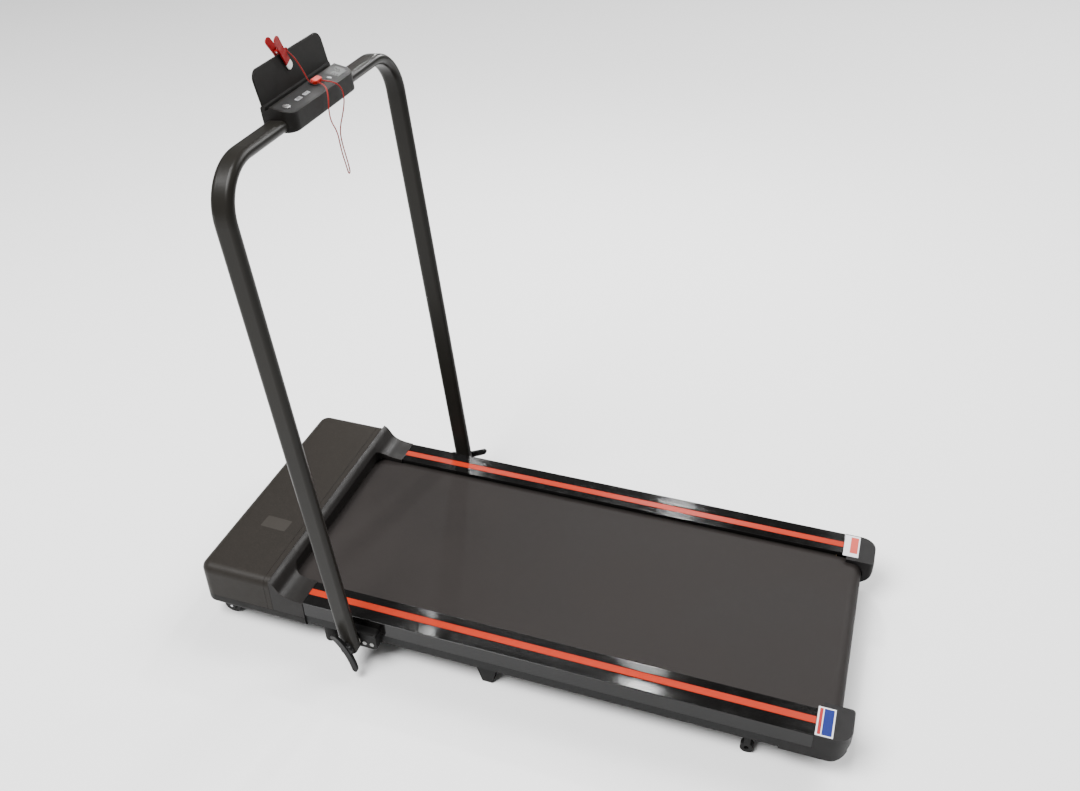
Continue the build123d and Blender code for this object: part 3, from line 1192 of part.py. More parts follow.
def main():
    """Build every node and write it."""
    os.makedirs("parts", exist_ok=True)
    side, plate = frame_side(), tension_plate()
    save("frame_sides", side, right(side), plate, right(plate))
    save("cross_members", *cross_members(), motor_bracket())
    save("deck_board", deck_board())
    save("deck_cushions", *deck_cushions())
    save("running_belt", belt_loop())
    save("front_roller", roller(FRONT_ROLLER_Y))
    save("rear_roller", roller(REAR_ROLLER_Y))
    save("front_bearings", *bearings(FRONT_ROLLER_Y))
    save("rear_bearings", *bearings(REAR_ROLLER_Y))
    bolt, wheel_pin = tension_bolt(), wheel_axle()
    rear_axle = axle(REAR_ROLLER_Y) - bolt - right(bolt)
    save("axles", axle(FRONT_ROLLER_Y), rear_axle, wheel_pin, right(wheel_pin))
    save("fasteners", bolt, right(bolt), *cover_screws(), *bracket_bolts())

    save("roller_pulley", roller_pulley())
    save("motor_armature", motor_pulley() + motor_shaft())
    save("drive_belt", drive_belt())
    save("motor_case", motor_case())
    save("controller_box", controller_box())

    save("motor_hood", motor_hood())
    save("hood_strip", hood_strip())
    save("hood_collar", hood_collar())
    save("bottom_pan", bottom_pan())
    save("power_inlet", power_inlet())
    save("switch_frame", switch_frame())
    save("switch_rocker", switch_rocker())

    save_pair("side_rail", side_rail())
    save_pair("end_cap", end_cap())
    stripe, label = rail_stripe(), rear_label()
    save("rail_stripes", stripe, right(stripe))
    save("rear_labels", label, right(label))

    ring, wedge, puck, fork = ring_foot(), mid_foot(), front_foot(), wheel_fork()
    save("ring_feet", ring, right(ring))
    save("frame_feet", wedge, right(wedge), puck, right(puck))
    save("wheel_forks", fork, right(fork))
    save_pair("transport_wheel", transport_wheel())

    bracket, washer, stud = pivot_bracket(), pivot_washer(), pivot_stud()
    save("pivot_brackets", bracket, right(bracket))
    save("pivot_washers", washer, right(washer))
    save("pivot_studs", stud, right(stud))
    save("clamp_knob_left", clamp_knob(LEFT_KNOB_TURN))
    save("clamp_knob_right", right(clamp_knob(RIGHT_KNOB_TURN)))
    save("handrail_tube", handrail_tube())
    save("handrail_plugs", end_plug(1), end_plug(-1))

    save("console_housing", console_housing())
    save("console_cover", console_cover())
    save("console_face", console_face())
    save("display_window", display_window())
    save("button_board", button_board())
    save("start_button", round_button())
    for name, x, u in ROCKERS:
        save(name, rocker_button(x, u))
    save("mode_button", small_button())
    save("tablet_holder", tablet_holder())
    save("key_socket", key_socket())
    save("safety_key", safety_key())

    save("clip_jaw", clip_jaw())
    save("clip_pad", clip_pad())
    save("clip_lever", clip_lever())
    save("clip_fittings", clip_pin(), clip_spring())
    save("cord_loop", cord(LOOP_ROUTE))
    save("cord_lead", cord(LEAD_ROUTE))


if __name__ == "__main__":
    main()
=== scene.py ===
# %% [markdown]
# # A walking treadmill with a folding handrail
#
# This lesson dresses an engineering model of a slim walking treadmill. The model arrives as a fixed
# frame: every casing, tube and key is already in its place, in metres, with +Z up, the motor hood
# towards -Y and the walker's left towards +X. What is left is the part that the eye notices: the
# grain of the hood, the gloss of the foot rails, the weave of the red cord and the light on all of it.

# %% The frame
import json
import math

import bmesh
import bpy
from mathutils import Matrix, Vector


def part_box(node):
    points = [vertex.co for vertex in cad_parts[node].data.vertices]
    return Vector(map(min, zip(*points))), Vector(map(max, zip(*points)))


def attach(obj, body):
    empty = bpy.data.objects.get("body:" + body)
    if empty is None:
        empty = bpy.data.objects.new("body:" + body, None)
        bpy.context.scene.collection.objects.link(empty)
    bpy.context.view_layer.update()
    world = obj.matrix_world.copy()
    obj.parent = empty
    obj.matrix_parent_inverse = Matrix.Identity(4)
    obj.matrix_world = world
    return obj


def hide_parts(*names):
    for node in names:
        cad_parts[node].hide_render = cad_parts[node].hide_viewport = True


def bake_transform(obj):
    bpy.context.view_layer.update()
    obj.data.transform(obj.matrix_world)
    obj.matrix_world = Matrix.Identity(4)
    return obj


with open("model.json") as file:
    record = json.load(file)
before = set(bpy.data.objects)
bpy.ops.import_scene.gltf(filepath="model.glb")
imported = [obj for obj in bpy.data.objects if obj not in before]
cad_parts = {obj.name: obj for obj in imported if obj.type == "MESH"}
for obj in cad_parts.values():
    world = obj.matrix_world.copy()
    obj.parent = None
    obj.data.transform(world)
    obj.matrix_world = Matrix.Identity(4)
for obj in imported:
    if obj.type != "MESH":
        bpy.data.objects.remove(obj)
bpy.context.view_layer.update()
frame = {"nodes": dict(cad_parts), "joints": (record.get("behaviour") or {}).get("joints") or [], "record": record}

nodes = frame["nodes"]
joints = {joint["name"]: joint for joint in frame["joints"]}
MM = 0.001

# %% [markdown]
# ## The viewpoint
#
# A treadmill is long and low with a tall thin handrail, so it is looked at from above its left rear corner: that
# shows the belt, both rails and the console in one view. A lens a little wider than the normal 50 mm stands close
# enough to make the near rail larger than the far one. The camera is set first.

# %% Camera
CAMERA_PLACE = Vector((1.566, 0.5433, 1.7330))
CAMERA_AROUND = math.radians(109.23)
CAMERA_ABOVE = math.radians(35.78)
CAMERA_ROLL = math.radians(-0.89)
LENS = 35.78


def aim_camera():
    """A camera at the given place, aimed by its angle round the object and above the floor."""
    flat = math.cos(CAMERA_ABOVE)
    back = Vector((
        math.sin(CAMERA_AROUND) * flat, -math.cos(CAMERA_AROUND) * flat, math.sin(CAMERA_ABOVE)
    ))
    side = Vector((0, 0, 1)).cross(back).normalized()
    up = back.cross(side)
    rolled_side = math.cos(CAMERA_ROLL) * side + math.sin(CAMERA_ROLL) * up
    rolled_up = math.cos(CAMERA_ROLL) * up - math.sin(CAMERA_ROLL) * side
    turn = Matrix((rolled_side, rolled_up, back)).transposed()
    data = bpy.data.cameras.new("camera")
    data.lens = LENS
    data.sensor_width = 36.0
    camera = bpy.data.objects.new("camera", data)
    camera.matrix_world = Matrix.Translation(CAMERA_PLACE) @ turn.to_4x4()
    bpy.context.scene.collection.objects.link(camera)
    bpy.context.scene.camera = camera
    return camera


camera = aim_camera()
print("camera at", tuple(round(value, 3) for value in camera.location))

# %% [markdown]
# ## Shader arithmetic
#
# A procedural finish is mostly arithmetic: a pattern times a depth, plus a little noise. Wiring each
# Math node by hand hides that, so one small class wraps a socket and turns Python's operators into
# Math nodes. Everything that isn't arithmetic comes from one method, which takes a node's type, its
# settings and the values or links of its sockets.

# %% A socket that can be added and multiplied
class Signal:
    """One output of a shader node, which takes part in plain arithmetic."""

    def __init__(self, finish, socket):
        self.finish = finish
        self.socket = socket

    def math(self, operation, *values):
        return self.finish.node("ShaderNodeMath", {"operation": operation}, dict(enumerate(values)))

    def __add__(self, other):
        return self.math("ADD", self, other)

    def __radd__(self, other):
        return self.math("ADD", other, self)

    def __sub__(self, other):
        return self.math("SUBTRACT", self, other)

    def __rsub__(self, other):
        return self.math("SUBTRACT", other, self)

    def __mul__(self, other):
        return self.math("MULTIPLY", self, other)

    def __rmul__(self, other):
        return self.math("MULTIPLY", other, self)

    def __gt__(self, other):
        return self.math("GREATER_THAN", self, other)

    def sine(self):
        return self.math("SINE", self)

    def between(self, low, high):
        """0 below the first value, 1 above the second, and smooth in the middle."""
        settings = {"interpolation_type": "SMOOTHSTEP"}
        return self.finish.node("ShaderNodeMapRange", settings, {0: self, 1: low, 2: high})


SHEEN_LEVEL = 0.12             # dark mouldings and paints reflect less than clear glass does
MIX_FACTOR = 0                 # a Mix node has sockets for each type of value under the same names,
MIX_FIRST = 6                  # so those for colours go by number
MIX_SECOND = 7
MIX_RESULT = 2


class Finish:
    """A material under construction: its nodes, its surface shader and its base colour."""

    def __init__(self, name, colour, roughness, **constants):
        self.material = bpy.data.materials.new(name)
        self.material.use_nodes = True
        self.tree = self.material.node_tree
        self.shader = self.tree.nodes["Principled BSDF"]
        self.colour = (*colour, 1.0)
        self.shader.inputs["Base Color"].default_value = self.colour
        self.shader.inputs["Roughness"].default_value = roughness
        self.shader.inputs["Specular IOR Level"].default_value = SHEEN_LEVEL
        for socket, value in constants.items():
            self.shader.inputs[socket.replace("_", " ")].default_value = value

    def node(self, kind, settings=None, inputs=None, output=0):
        """Add a node of a type, with its settings first and then its sockets' values or links."""
        node = self.tree.nodes.new(kind)
        for name, value in (settings or {}).items():
            setattr(node, name, value)
        for name, value in (inputs or {}).items():
            if isinstance(value, Signal):
                self.tree.links.new(value.socket, node.inputs[name])
            else:
                node.inputs[name].default_value = value
        return Signal(self, node.outputs[output])

    def feed(self, socket, signal):
        """Link a signal to one of the surface shader's sockets."""
        self.tree.links.new(signal.socket, self.shader.inputs[socket])
        return self

    def place(self):
        """The object's own coordinates, in metres."""
        return self.node("ShaderNodeTexCoord", output="Object")

    def stretched(self, scale):
        """Object coordinates scaled along each axis, for a pattern that runs one way."""
        return self.node("ShaderNodeMapping", None, {"Vector": self.place(), "Scale": scale})

    def axis(self, index):
        """One of the object's coordinates as a number."""
        return self.node("ShaderNodeSeparateXYZ", None, {0: self.place()}, output=index)

    def noise(self, scale, detail=2.0, vector=None):
        """Soft noise about 0.5, at so many cells a metre."""
        vector = vector or self.place()
        return self.node("ShaderNodeTexNoise", None, {"Vector": vector, "Scale": scale, "Detail": detail})

    def cells(self, scale):
        """Distance from the middle of the nearest cell, from 0 at its middle."""
        return self.node("ShaderNodeTexVoronoi", None, {"Vector": self.place(), "Scale": scale})

    def mix(self, factor, first, second):
        """A colour between two colours."""
        inputs = {MIX_FACTOR: factor, MIX_FIRST: first, MIX_SECOND: second}
        return self.node("ShaderNodeMix", {"data_type": "RGBA"}, inputs, output=MIX_RESULT)

    def tint(self, factor, amount):
        """Let the base colour wander between darker and lighter, by a share of itself."""
        dark = [value * (1 - amount) for value in self.colour[:3]] + [1.0]
        light = [value * (1 + amount) for value in self.colour[:3]] + [1.0]
        return self.feed("Base Color", self.mix(factor, dark, light))

    def relief(self, height, distance, strength=1.0):
        """Bend the surface's normals by a height pattern, whose full depth is the distance."""
        inputs = {"Height": height, "Distance": distance, "Strength": strength}
        return self.feed("Normal", self.node("ShaderNodeBump", None, inputs))


print("shader helpers ready")

# %% [markdown]
# ## Dressing the nodes
#
# Each node of the frame names the kind of finish it has in its record, so a finish is made once and
# given to every node of that kind. The nodes arrive with one material slot each: the finish takes the
# place of what is in it.

# %% Give a finish to every node of a slot
slot_nodes = {}
for part in frame["record"]["subparts"]:
    slot_nodes.setdefault(part["material_slot"], []).append(part["node"])
finishes = {}


def dress(slot_name, finish):
    """Put a finished material on every node of a slot, and keep it for new pieces."""
    finishes[slot_name] = finish.material
    for name in slot_nodes[slot_name]:
        mesh = nodes[name].data
        mesh.materials.clear()
        mesh.materials.append(finish.material)


print(len(slot_nodes), "kinds of finish to make")

# %% [markdown]
# ## The hood: dimpled charcoal plastic
#
# The motor hood's top is moulded with fine shallow dimples, about two millimetres apart, which hide scuffs from
# shoes. Modelling tens of thousands of dimples would be wasteful, so they are a Voronoi pattern in the bump: the
# distance from a cell's middle is already the shape of a dimple. The same distance paints each dimple darker
# towards its middle, which is painted shade in its hollow. A broad soft noise shifts the tone slightly, as light
# does on a big moulding, and the sheen is broken by a finer noise in the roughness.

# %% Hood finish
CHARCOAL = (0.0125, 0.0107, 0.0090)
DIMPLES_PER_METRE = 480.0
GRAIN_PER_METRE = 900.0


def hood_finish():
    finish = Finish("hood_plastic", CHARCOAL, 0.48)
    dimples = finish.cells(DIMPLES_PER_METRE)
    grain = finish.noise(GRAIN_PER_METRE, 3.0)
    finish.relief(dimples * 0.8 + grain * 0.2, 0.0004, 0.6)
    # The dimples' middles are painted darker, which is painted shade in their hollows; the broad noise shifts the
    # tone as light does on a big moulding.
    finish.tint(finish.noise(9.0, 3.0) * 0.3 + dimples * 0.9, 0.30)
    return finish.feed("Roughness", 0.42 + 0.12 * finish.noise(60.0, 3.0) + 0.05 * dimples)


dress("hood_plastic", hood_finish())
print("hood dressed")

# %% [markdown]
# ## The collar, the pan and the caps: satin mouldings
#
# The same charcoal plastic is smooth where feet pass: the collar over the belt has only a spark-eroded
# satin, much finer than the dimples. The tray below and the rear caps are nearer black. One function
# makes all of them, with the grain's size and depth and the gloss as its arguments, because they come
# out of moulds that differ only in how they were etched.

# %% Satin mouldings
def moulded(name, colour, roughness, grain_per_metre, depth, coat=0.0):
    """Moulded plastic with an etched grain, a slight change of tone and hazy handling marks."""
    finish = Finish(name, colour, roughness, Coat_Weight=coat, Coat_Roughness=0.12)
    grain = finish.noise(grain_per_metre, 3.0)
    finish.relief(grain, depth, 0.6)
    finish.tint(finish.noise(14.0, 3.0), 0.16)
    haze = finish.noise(38.0, 4.0).between(0.35, 0.75)
    return finish.feed("Roughness", roughness - 0.05 + 0.12 * haze)


dress("collar_plastic", moulded("collar_plastic", (0.0085, 0.0076, 0.0070), 0.38, 1500.0, 0.00012))
dress("pan_plastic", moulded("pan_plastic", (0.0055, 0.0050, 0.0046), 0.50, 1100.0, 0.0002))
dress("cap_plastic", moulded("cap_plastic", (0.0065, 0.0060, 0.0060), 0.44, 900.0, 0.00022))
dress("bracket_plastic", moulded("bracket_plastic", (0.006, 0.0058, 0.0056), 0.46, 900.0, 0.0002))
dress("fitting_plastic", moulded("fitting_plastic", (0.010, 0.010, 0.010), 0.26, 1500.0, 0.00006))
dress("knob_plastic", moulded("knob_plastic", (0.010, 0.010, 0.010), 0.30, 900.0, 0.0001))
dress("wheel_plastic", moulded("wheel_plastic", (0.007, 0.0068, 0.0065), 0.42, 800.0, 0.00015))
dress("washer_nylon", moulded("washer_nylon", (0.50, 0.49, 0.45), 0.35, 700.0, 0.0001))
print("mouldings dressed")

# %% [markdown]
# ## The belt: a woven carrier under a printed grain
#
# A walking belt is polyester cloth coated with PVC, and the coat is rolled with a fine diamond grain
# for grip. Two sine waves that cross at an angle make the diamonds, and their product is the height.
# Shoes polish the middle of the belt slightly, so the tone and the gloss wander in large soft patches.

# %% Belt finish
DIAMOND_PITCH = 0.0021


def belt_finish():
    finish = Finish("belt", (0.0140, 0.0118, 0.0110), 0.62)
    rate = 2 * math.pi / DIAMOND_PITCH
    across, along = finish.axis(0), finish.axis(1)
    one = (across * rate + along * (rate * 0.6)).sine()
    other = (across * rate - along * (rate * 0.6)).sine()
    diamonds = one * other
    grit = finish.noise(2400.0, 2.0)
    finish.relief(diamonds * 0.5 + grit * 0.5, 0.00016, 0.6)
    patches = finish.noise(5.5, 3.0).between(0.3, 0.72)
    finish.tint(patches * 0.85 + grit * 0.25, 0.13)
    return finish.feed("Roughness", 0.55 + 0.13 * patches)


dress("belt", belt_finish())
print("belt dressed")

# %% [markdown]
# ## The foot rails: gloss black over fine ribs
#
# The rails are extruded and come out nearly as bright as lacquer, so they show the room: a window far
# behind leaves a white patch on them. The broad ribs are real geometry. The finish adds finer flutes
# between them, a low roughness, hairline scuffs that run the length of the rail because shoes slide
# that way, and a little dust that dulls it in places. The scuffs are noise stretched about forty times
# along Y.

# %% Rail and stripe finishes
FLUTE_PITCH = 3.4 * MM


def rail_finish():
    finish = Finish("rail_plastic", (0.0045, 0.0042, 0.0040), 0.12, Specular_IOR_Level=0.26)
    scuffs = finish.noise(1.0, 4.0, finish.stretched((1600.0, 38.0, 1600.0)))
    dust = finish.noise(22.0, 5.0).between(0.48, 0.85)
    flutes = (finish.axis(0) * (2 * math.pi / FLUTE_PITCH)).sine()
    finish.relief(flutes * 0.9 + scuffs * 0.1, 0.00011, 0.8)
    finish.tint(dust, 0.35)
    return finish.feed("Roughness", 0.07 + 0.06 * scuffs + 0.12 * dust)


def stripe_finish():
    finish = Finish("stripe_orange", (0.30, 0.017, 0.003), 0.42)
    lines = finish.noise(1.0, 3.0, finish.stretched((2200.0, 12.0, 300.0)))
    finish.relief(lines, 0.00005, 0.5)
    finish.tint(finish.noise(16.0, 4.0) * 0.6 + lines * 0.3, 0.13)
    return finish.feed("Roughness", 0.28 + 0.14 * lines)


dress("rail_plastic", rail_finish())
dress("stripe_orange", stripe_finish())
print("rails dressed")

# %% [markdown]
# ## Painted steel: the handrail and the frame
#
# Powder coat melts into a skin with an orange-peel texture under a millimetre wide. It is a dielectric
# layer, not a metal, so Metallic stays at zero and the peel goes to the bump. On the handrail the coat
# is a warm near-black satin that catches a long soft highlight along each bend.

# %% Powder coat
def powder_coat(name, colour, roughness, peel_per_metre, depth):
    finish = Finish(name, colour, roughness)
    peel = finish.noise(peel_per_metre, 2.0)
    fine = finish.noise(peel_per_metre * 3.2, 2.0)
    finish.relief(peel * 0.7 + fine * 0.3, depth, 0.55)
    finish.tint(finish.noise(7.0, 3.0), 0.12)
    return finish.feed("Roughness", roughness - 0.05 + 0.10 * finish.noise(30.0, 4.0))


dress("handrail_paint", powder_coat("handrail_paint", (0.0100, 0.0092, 0.0078), 0.32, 1050.0, 0.00016))
dress("frame_steel", powder_coat("frame_steel", (0.006, 0.006, 0.006), 0.40, 900.0, 0.0002))
dress("motor_paint", powder_coat("motor_paint", (0.020, 0.020, 0.022), 0.30, 700.0, 0.0001))
print("steel dressed")

# %% [markdown]
# ## Bare metal
#
# Rollers, axles and screws show metal. A turned or ground part carries fine rings round its axis: on
# rollers that lie along X, that is noise squeezed along X and long round the bar. Metallic is one, the
# colour is the metal's reflectance, and the rings go to the roughness and a very shallow bump.

# %% Metals
def bare_metal(name, colour, roughness, lines_along_x=2600.0):
    finish = Finish(name, colour, roughness, Metallic=1.0)
    rings = finish.noise(1.0, 3.0, finish.stretched((lines_along_x, 60.0, 60.0)))
    finish.relief(rings, 0.00002, 0.4)
    finish.tint(finish.noise(24.0, 4.0), 0.10)
    return finish.feed("Roughness", roughness - 0.08 + 0.18 * rings)


dress("roller_steel", bare_metal("roller_steel", (0.46, 0.46, 0.46), 0.30))
dress("bearing_steel", bare_metal("bearing_steel", (0.52, 0.52, 0.53), 0.24))
dress("fastener_steel", bare_metal("fastener_steel", (0.34, 0.34, 0.33), 0.36, 900.0))
dress("pulley_aluminium", bare_metal("pulley_aluminium", (0.62, 0.62, 0.64), 0.28))
dress("controller_aluminium", bare_metal("controller_aluminium", (0.42, 0.43, 0.45), 0.38, 400.0))
dress("button_silver", bare_metal("button_silver", (0.22, 0.22, 0.225), 0.42, 1500.0))
print("metals dressed")

# %% [markdown]
# ## Rubber, board and circuit board
#
# The feet are moulded rubber with a chalky bloom, so they are rough and slightly uneven. The drive
# belt is the same compound with a tighter grain. The deck is fibreboard under a thin black laminate:
# its top is dark and slick where the belt slides, and brown fibres show only at its edges, which a
# step in height separates. The circuit board is green lacquer over copper tracks.

# %% Rubber, deck and board
def rubber(name, colour, grain_per_metre):
    finish = Finish(name, colour, 0.7)
    grain = finish.noise(grain_per_metre, 3.0)
    bloom = finish.noise(45.0, 5.0).between(0.45, 0.8)
    finish.relief(grain, 0.00025, 0.6)
    finish.tint(bloom, 0.3)
    return finish.feed("Roughness", 0.62 + 0.16 * bloom)


def deck_finish():
    finish = Finish("deck_board", (0.012, 0.011, 0.010), 0.35)
    deck_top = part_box("deck_board")[1].z
    fibres = finish.noise(1.0, 4.0, finish.stretched((260.0, 40.0, 1400.0)))
    brown = finish.mix(fibres, (0.10, 0.062, 0.033, 1.0), (0.24, 0.16, 0.095, 1.0))
    laminate = finish.axis(2) > deck_top - 0.6 * MM
    finish.feed("Base Color", finish.mix(laminate, brown, finish.colour))
    finish.relief(fibres, 0.0001, 0.3)
    return finish.feed("Roughness", 0.75 - 0.45 * laminate + 0.08 * fibres)


def circuit_finish():
    finish = Finish("circuit_board", (0.010, 0.075, 0.030), 0.32, Coat_Weight=0.4)
    tracks = (finish.axis(0) * 900.0).sine() > 0.55
    finish.feed("Base Color", finish.mix(tracks, finish.colour, (0.022, 0.13, 0.055, 1.0)))
    return finish.relief(tracks, 0.00005, 0.4)


dress("rubber_black", rubber("rubber_black", (0.013, 0.0128, 0.0125), 900.0))
dress("drive_rubber", rubber("drive_rubber", (0.011, 0.011, 0.011), 1600.0))
dress("deck_board", deck_finish())
dress("circuit_board", circuit_finish())
print("rubber and boards dressed")

# %% [markdown]
# ## The console
#
# The console's shells have a fine leather-like grain and almost no gloss, so they read as one dark mass against
# the handrail. The keypad is a thin printed overlay let into the face, smoother and a little greyer. The display
# is a window under a thin clear coat, with a few smudges, and its grey colour is a painted reflection of the
# room's light.

# %% Console finishes
def console_finish():
    finish = Finish("console_plastic", (0.0050, 0.0044, 0.0038), 0.5)
    leather = finish.cells(780.0)
    grain = finish.noise(2600.0, 2.0)
    finish.relief(leather * 0.6 + grain * 0.4, 0.00022, 0.65)
    finish.tint(finish.noise(26.0, 3.0), 0.16)
    return finish.feed("Roughness", 0.44 + 0.12 * finish.noise(90.0, 3.0))


def overlay_finish():
    finish = Finish("console_panel", (0.0115, 0.0112, 0.0110), 0.5)
    weave = (finish.axis(0) * 5200.0).sine() * (finish.axis(1) * 5200.0).sine()
    finish.relief(weave, 0.00004, 0.4)
    finish.tint(finish.noise(60.0, 3.0), 0.18)
    return finish.feed("Roughness", 0.46 + 0.10 * finish.noise(140.0, 3.0))


def window_painted_reflection():
    # The window's grey colour is a painted reflection of the room's light; the smudges are marks on it.
    finish = Finish("display_glass", (0.050, 0.052, 0.050), 0.30, Coat_Weight=0.15, Coat_Roughness=0.1)
    smudge = finish.noise(55.0, 4.0).between(0.4, 0.8)
    finish.tint(smudge, 0.2)
    return finish.feed("Roughness", 0.26 + 0.14 * smudge)


dress("console_plastic", console_finish())
dress("console_panel", overlay_finish())
dress("display_glass", window_painted_reflection())
dress("button_dark", moulded("button_dark", (0.050, 0.048, 0.047), 0.30, 1800.0, 0.00005, 0.2))
print("console dressed")

# %% [markdown]
# ## The safety tether and the labels
#
# Everything on the tether is red so that it is found without looking. The key is opaque glossy
# plastic, the clip is a deeper red, and its jaw tip is white. The label film is plain white with a soft
# gloss: the printed fields on it are separate thin pieces, with no lettering.

# %% Tether and label finishes
def clip_finish(name, colour, roughness):
    finish = Finish(name, colour, roughness, Coat_Weight=0.15, Coat_Roughness=0.12)
    flow = finish.noise(70.0, 4.0)
    finish.tint(flow, 0.18)
    finish.relief(finish.noise(600.0, 2.0), 0.00004, 0.4)
    return finish.feed("Roughness", roughness - 0.04 + 0.12 * flow)


dress("key_red", clip_finish("key_red", (0.40, 0.014, 0.006), 0.34))
dress("clip_red", clip_finish("clip_red", (0.19, 0.0018, 0.0030), 0.30))
dress("clip_white", clip_finish("clip_white", (0.74, 0.73, 0.70), 0.30))
dress("label_film", moulded("label_film", (0.56, 0.56, 0.58), 0.36, 400.0, 0.00003, 0.2))
print("tether dressed")

# %% [markdown]
# ## The red cord
#
# A braided cord just over two millimetres thick runs from the key to the clip, and a spare loop of it
# hangs from the key over the console's edge, pinched to a tight fold at its lowest end. The route is a
# short list of places on the leaning handrail, and a NURBS curve of order three runs smoothly near
# them, which is how a limp cord lies: it has no corners of its own.

# %% The cord's two routes
CORD_RADIUS = 1.1 * MM
RING_SIDES = 12
CURVE_STEPS = 10
RAIL_LEAN = math.radians(5.87)
ARM_LENGTH = 1.008
rail_back = Vector((0, math.cos(RAIL_LEAN), math.sin(RAIL_LEAN)))
rail_up = Vector((0, -math.sin(RAIL_LEAN), math.cos(RAIL_LEAN)))
crossbar_middle = Vector(joints["handrail_fold"]["pos_m"]) + ARM_LENGTH * rail_up
LOOP_ROUTE = [
    (-18.0, 11.5, 29.0), (-17.8, 17.9, 27.2), (-11.5, 27.4, 25.4), (-2.5, 36.0, 21.1), (6.5, 40.7, 9.9),
    (11.5, 40.2, -5.2), (11.0, 38.2, -20.5), (4.5, 35.9, -34.9), (-5.0, 34.0, -47.7),
    (-12.5, 31.9, -62.6), (-15.8, 29.6, -80.5), (-18.6, 28.3, -98.9), (-22.6, 27.5, -116.9),
    (-26.0, 26.8, -131.4), (-28.6, 26.1, -141.9), (-33.8, 26.4, -141.4), (-32.2, 27.6, -131.0),
    (-28.8, 29.0, -116.1), (-24.4, 30.1, -97.6), (-21.4, 30.9, -79.6), (-19.0, 32.8, -62.7),
    (-22.0, 34.9, -48.8), (-30.5, 36.5, -36.9), (-39.0, 38.2, -24.1), (-44.0, 40.2, -9.2),
    (-43.5, 41.0, 6.8), (-39.0, 36.9, 19.3), (-33.0, 27.5, 25.6), (-30.2, 18.2, 27.2),
    (-30.0, 11.5, 29.0),
]
LEAD_ROUTE = [
    (-11.8, 5.5, 30.8), (-7.2, 5.6, 31.3), (-3.4, 4.8, 34.4), (-2.0, 2.8, 40.0), (-2.0, -0.4, 50.2),
    (-1.0, -5.1, 63.1), (0.6, -10.2, 75.5), (3.4, -15.3, 84.7), (6.2, -19.0, 90.3),
]


def rail_place(x, u, v):
    """A place given in millimetres across, towards the walker and up from the crossbar's middle."""
    return crossbar_middle + MM * (Vector((x, 0, 0)) + u * rail_back + v * rail_up)


def smooth_line(name, route):
    """Closely spaced points of the smooth curve that a route's places steer, in metres."""
    curve = bpy.data.curves.new(name, "CURVE")
    curve.dimensions = "3D"
    curve.resolution_u = CURVE_STEPS
    spline = curve.splines.new("NURBS")
    spline.points.add(len(route) - 1)
    for point, place in zip(spline.points, route):
        point.co = (*rail_place(*place), 1.0)
    spline.order_u = 3
    spline.use_endpoint_u = True
    holder = bpy.data.objects.new(name, curve)
    mesh = bpy.data.meshes.new_from_object(holder)
    line = [vertex.co.copy() for vertex in mesh.vertices]
    bpy.data.objects.remove(holder)
    bpy.data.meshes.remove(mesh)
    return line


def line_length(line):
    """The steps of a line added up, in metres."""
    return sum((after - before).length for before, after in zip(line, line[1:]))


loop_line = smooth_line("loop_line", LOOP_ROUTE)
lead_line = smooth_line("lead_line", LEAD_ROUTE)
print("loop", round(line_length(loop_line), 4), "m, lead", round(line_length(lead_line), 4), "m")

# %% [markdown]
# ## The cord's tube
#
# A curve's own bevel would draw a tube at once, but the braid needs to know how many metres along the
# cord each ring lies. So a ring is extruded from point to point of the smooth line, turned each time
# only as much as the line turns, and its UV map holds the turns round the cord and the metres along it.

# %% A tube that remembers its length
def ring_places(line):
    """A place and turn for the ring at each point, turning no more than the line does."""
    ways = [(after - before).normalized() for before, after in zip(line, line[1:])]
    tangents = [ways[0]] + [(a + b).normalized() for a, b in zip(ways, ways[1:])] + [ways[-1]]
    turn = Vector((0, 0, 1)).rotation_difference(tangents[0])
    places = []
    for index, (point, tangent) in enumerate(zip(line, tangents)):
        if index:
            turn = tangents[index - 1].rotation_difference(tangent) @ turn
        places.append(Matrix.Translation(point) @ turn.to_matrix().to_4x4())
    return places


def draw_tube(bm, line, radius):
    """Extrude a ring along a line, with turns round it and metres along it in its UV map."""
    uv = bm.loops.layers.uv.new("cord")
    places = ring_places(line)
    made = bmesh.ops.create_circle(bm, segments=RING_SIDES, radius=radius, matrix=places[0])
    ring = made["verts"]
    clock = {vert: index for index, vert in enumerate(ring)}
    edges = [edge for edge in bm.edges if all(vert in clock for vert in edge.verts)]
    travelled = 0.0
    for before, after in zip(places, places[1:]):
        grown = bmesh.ops.extrude_edge_only(bm, edges=edges)["geom"]
        new = [item for item in grown if isinstance(item, bmesh.types.BMVert)]
        sides = [item for item in grown if isinstance(item, bmesh.types.BMFace)]
        edges = [
            item for item in grown
            if isinstance(item, bmesh.types.BMEdge) and all(vert in new for vert in item.verts)
        ]
        bmesh.ops.transform(bm, matrix=after @ before.inverted(), verts=new)
        step = (after.translation - before.translation).length
        fresh = {}
        for face in sides:
            for edge in face.edges:
                old = [vert for vert in edge.verts if vert in clock]
                young = [vert for vert in edge.verts if vert not in clock]
                if old and young:
                    fresh[young[0]] = clock[old[0]]
        for face in sides:
            numbers = [clock.get(loop.vert, fresh.get(loop.vert)) for loop in face.loops]
            wraps = 0 in numbers and RING_SIDES - 1 in numbers
            for loop, number in zip(face.loops, numbers):
                around = RING_SIDES if wraps and number == 0 else number
                ahead = step if loop.vert in fresh else 0.0
                loop[uv].uv = (around / RING_SIDES, travelled + ahead)
        travelled += step
        clock = fresh
    bmesh.ops.holes_fill(bm, edges=[edge for edge in bm.edges if edge.is_boundary])
    bmesh.ops.recalc_face_normals(bm, faces=bm.faces)


print("tube tool ready")

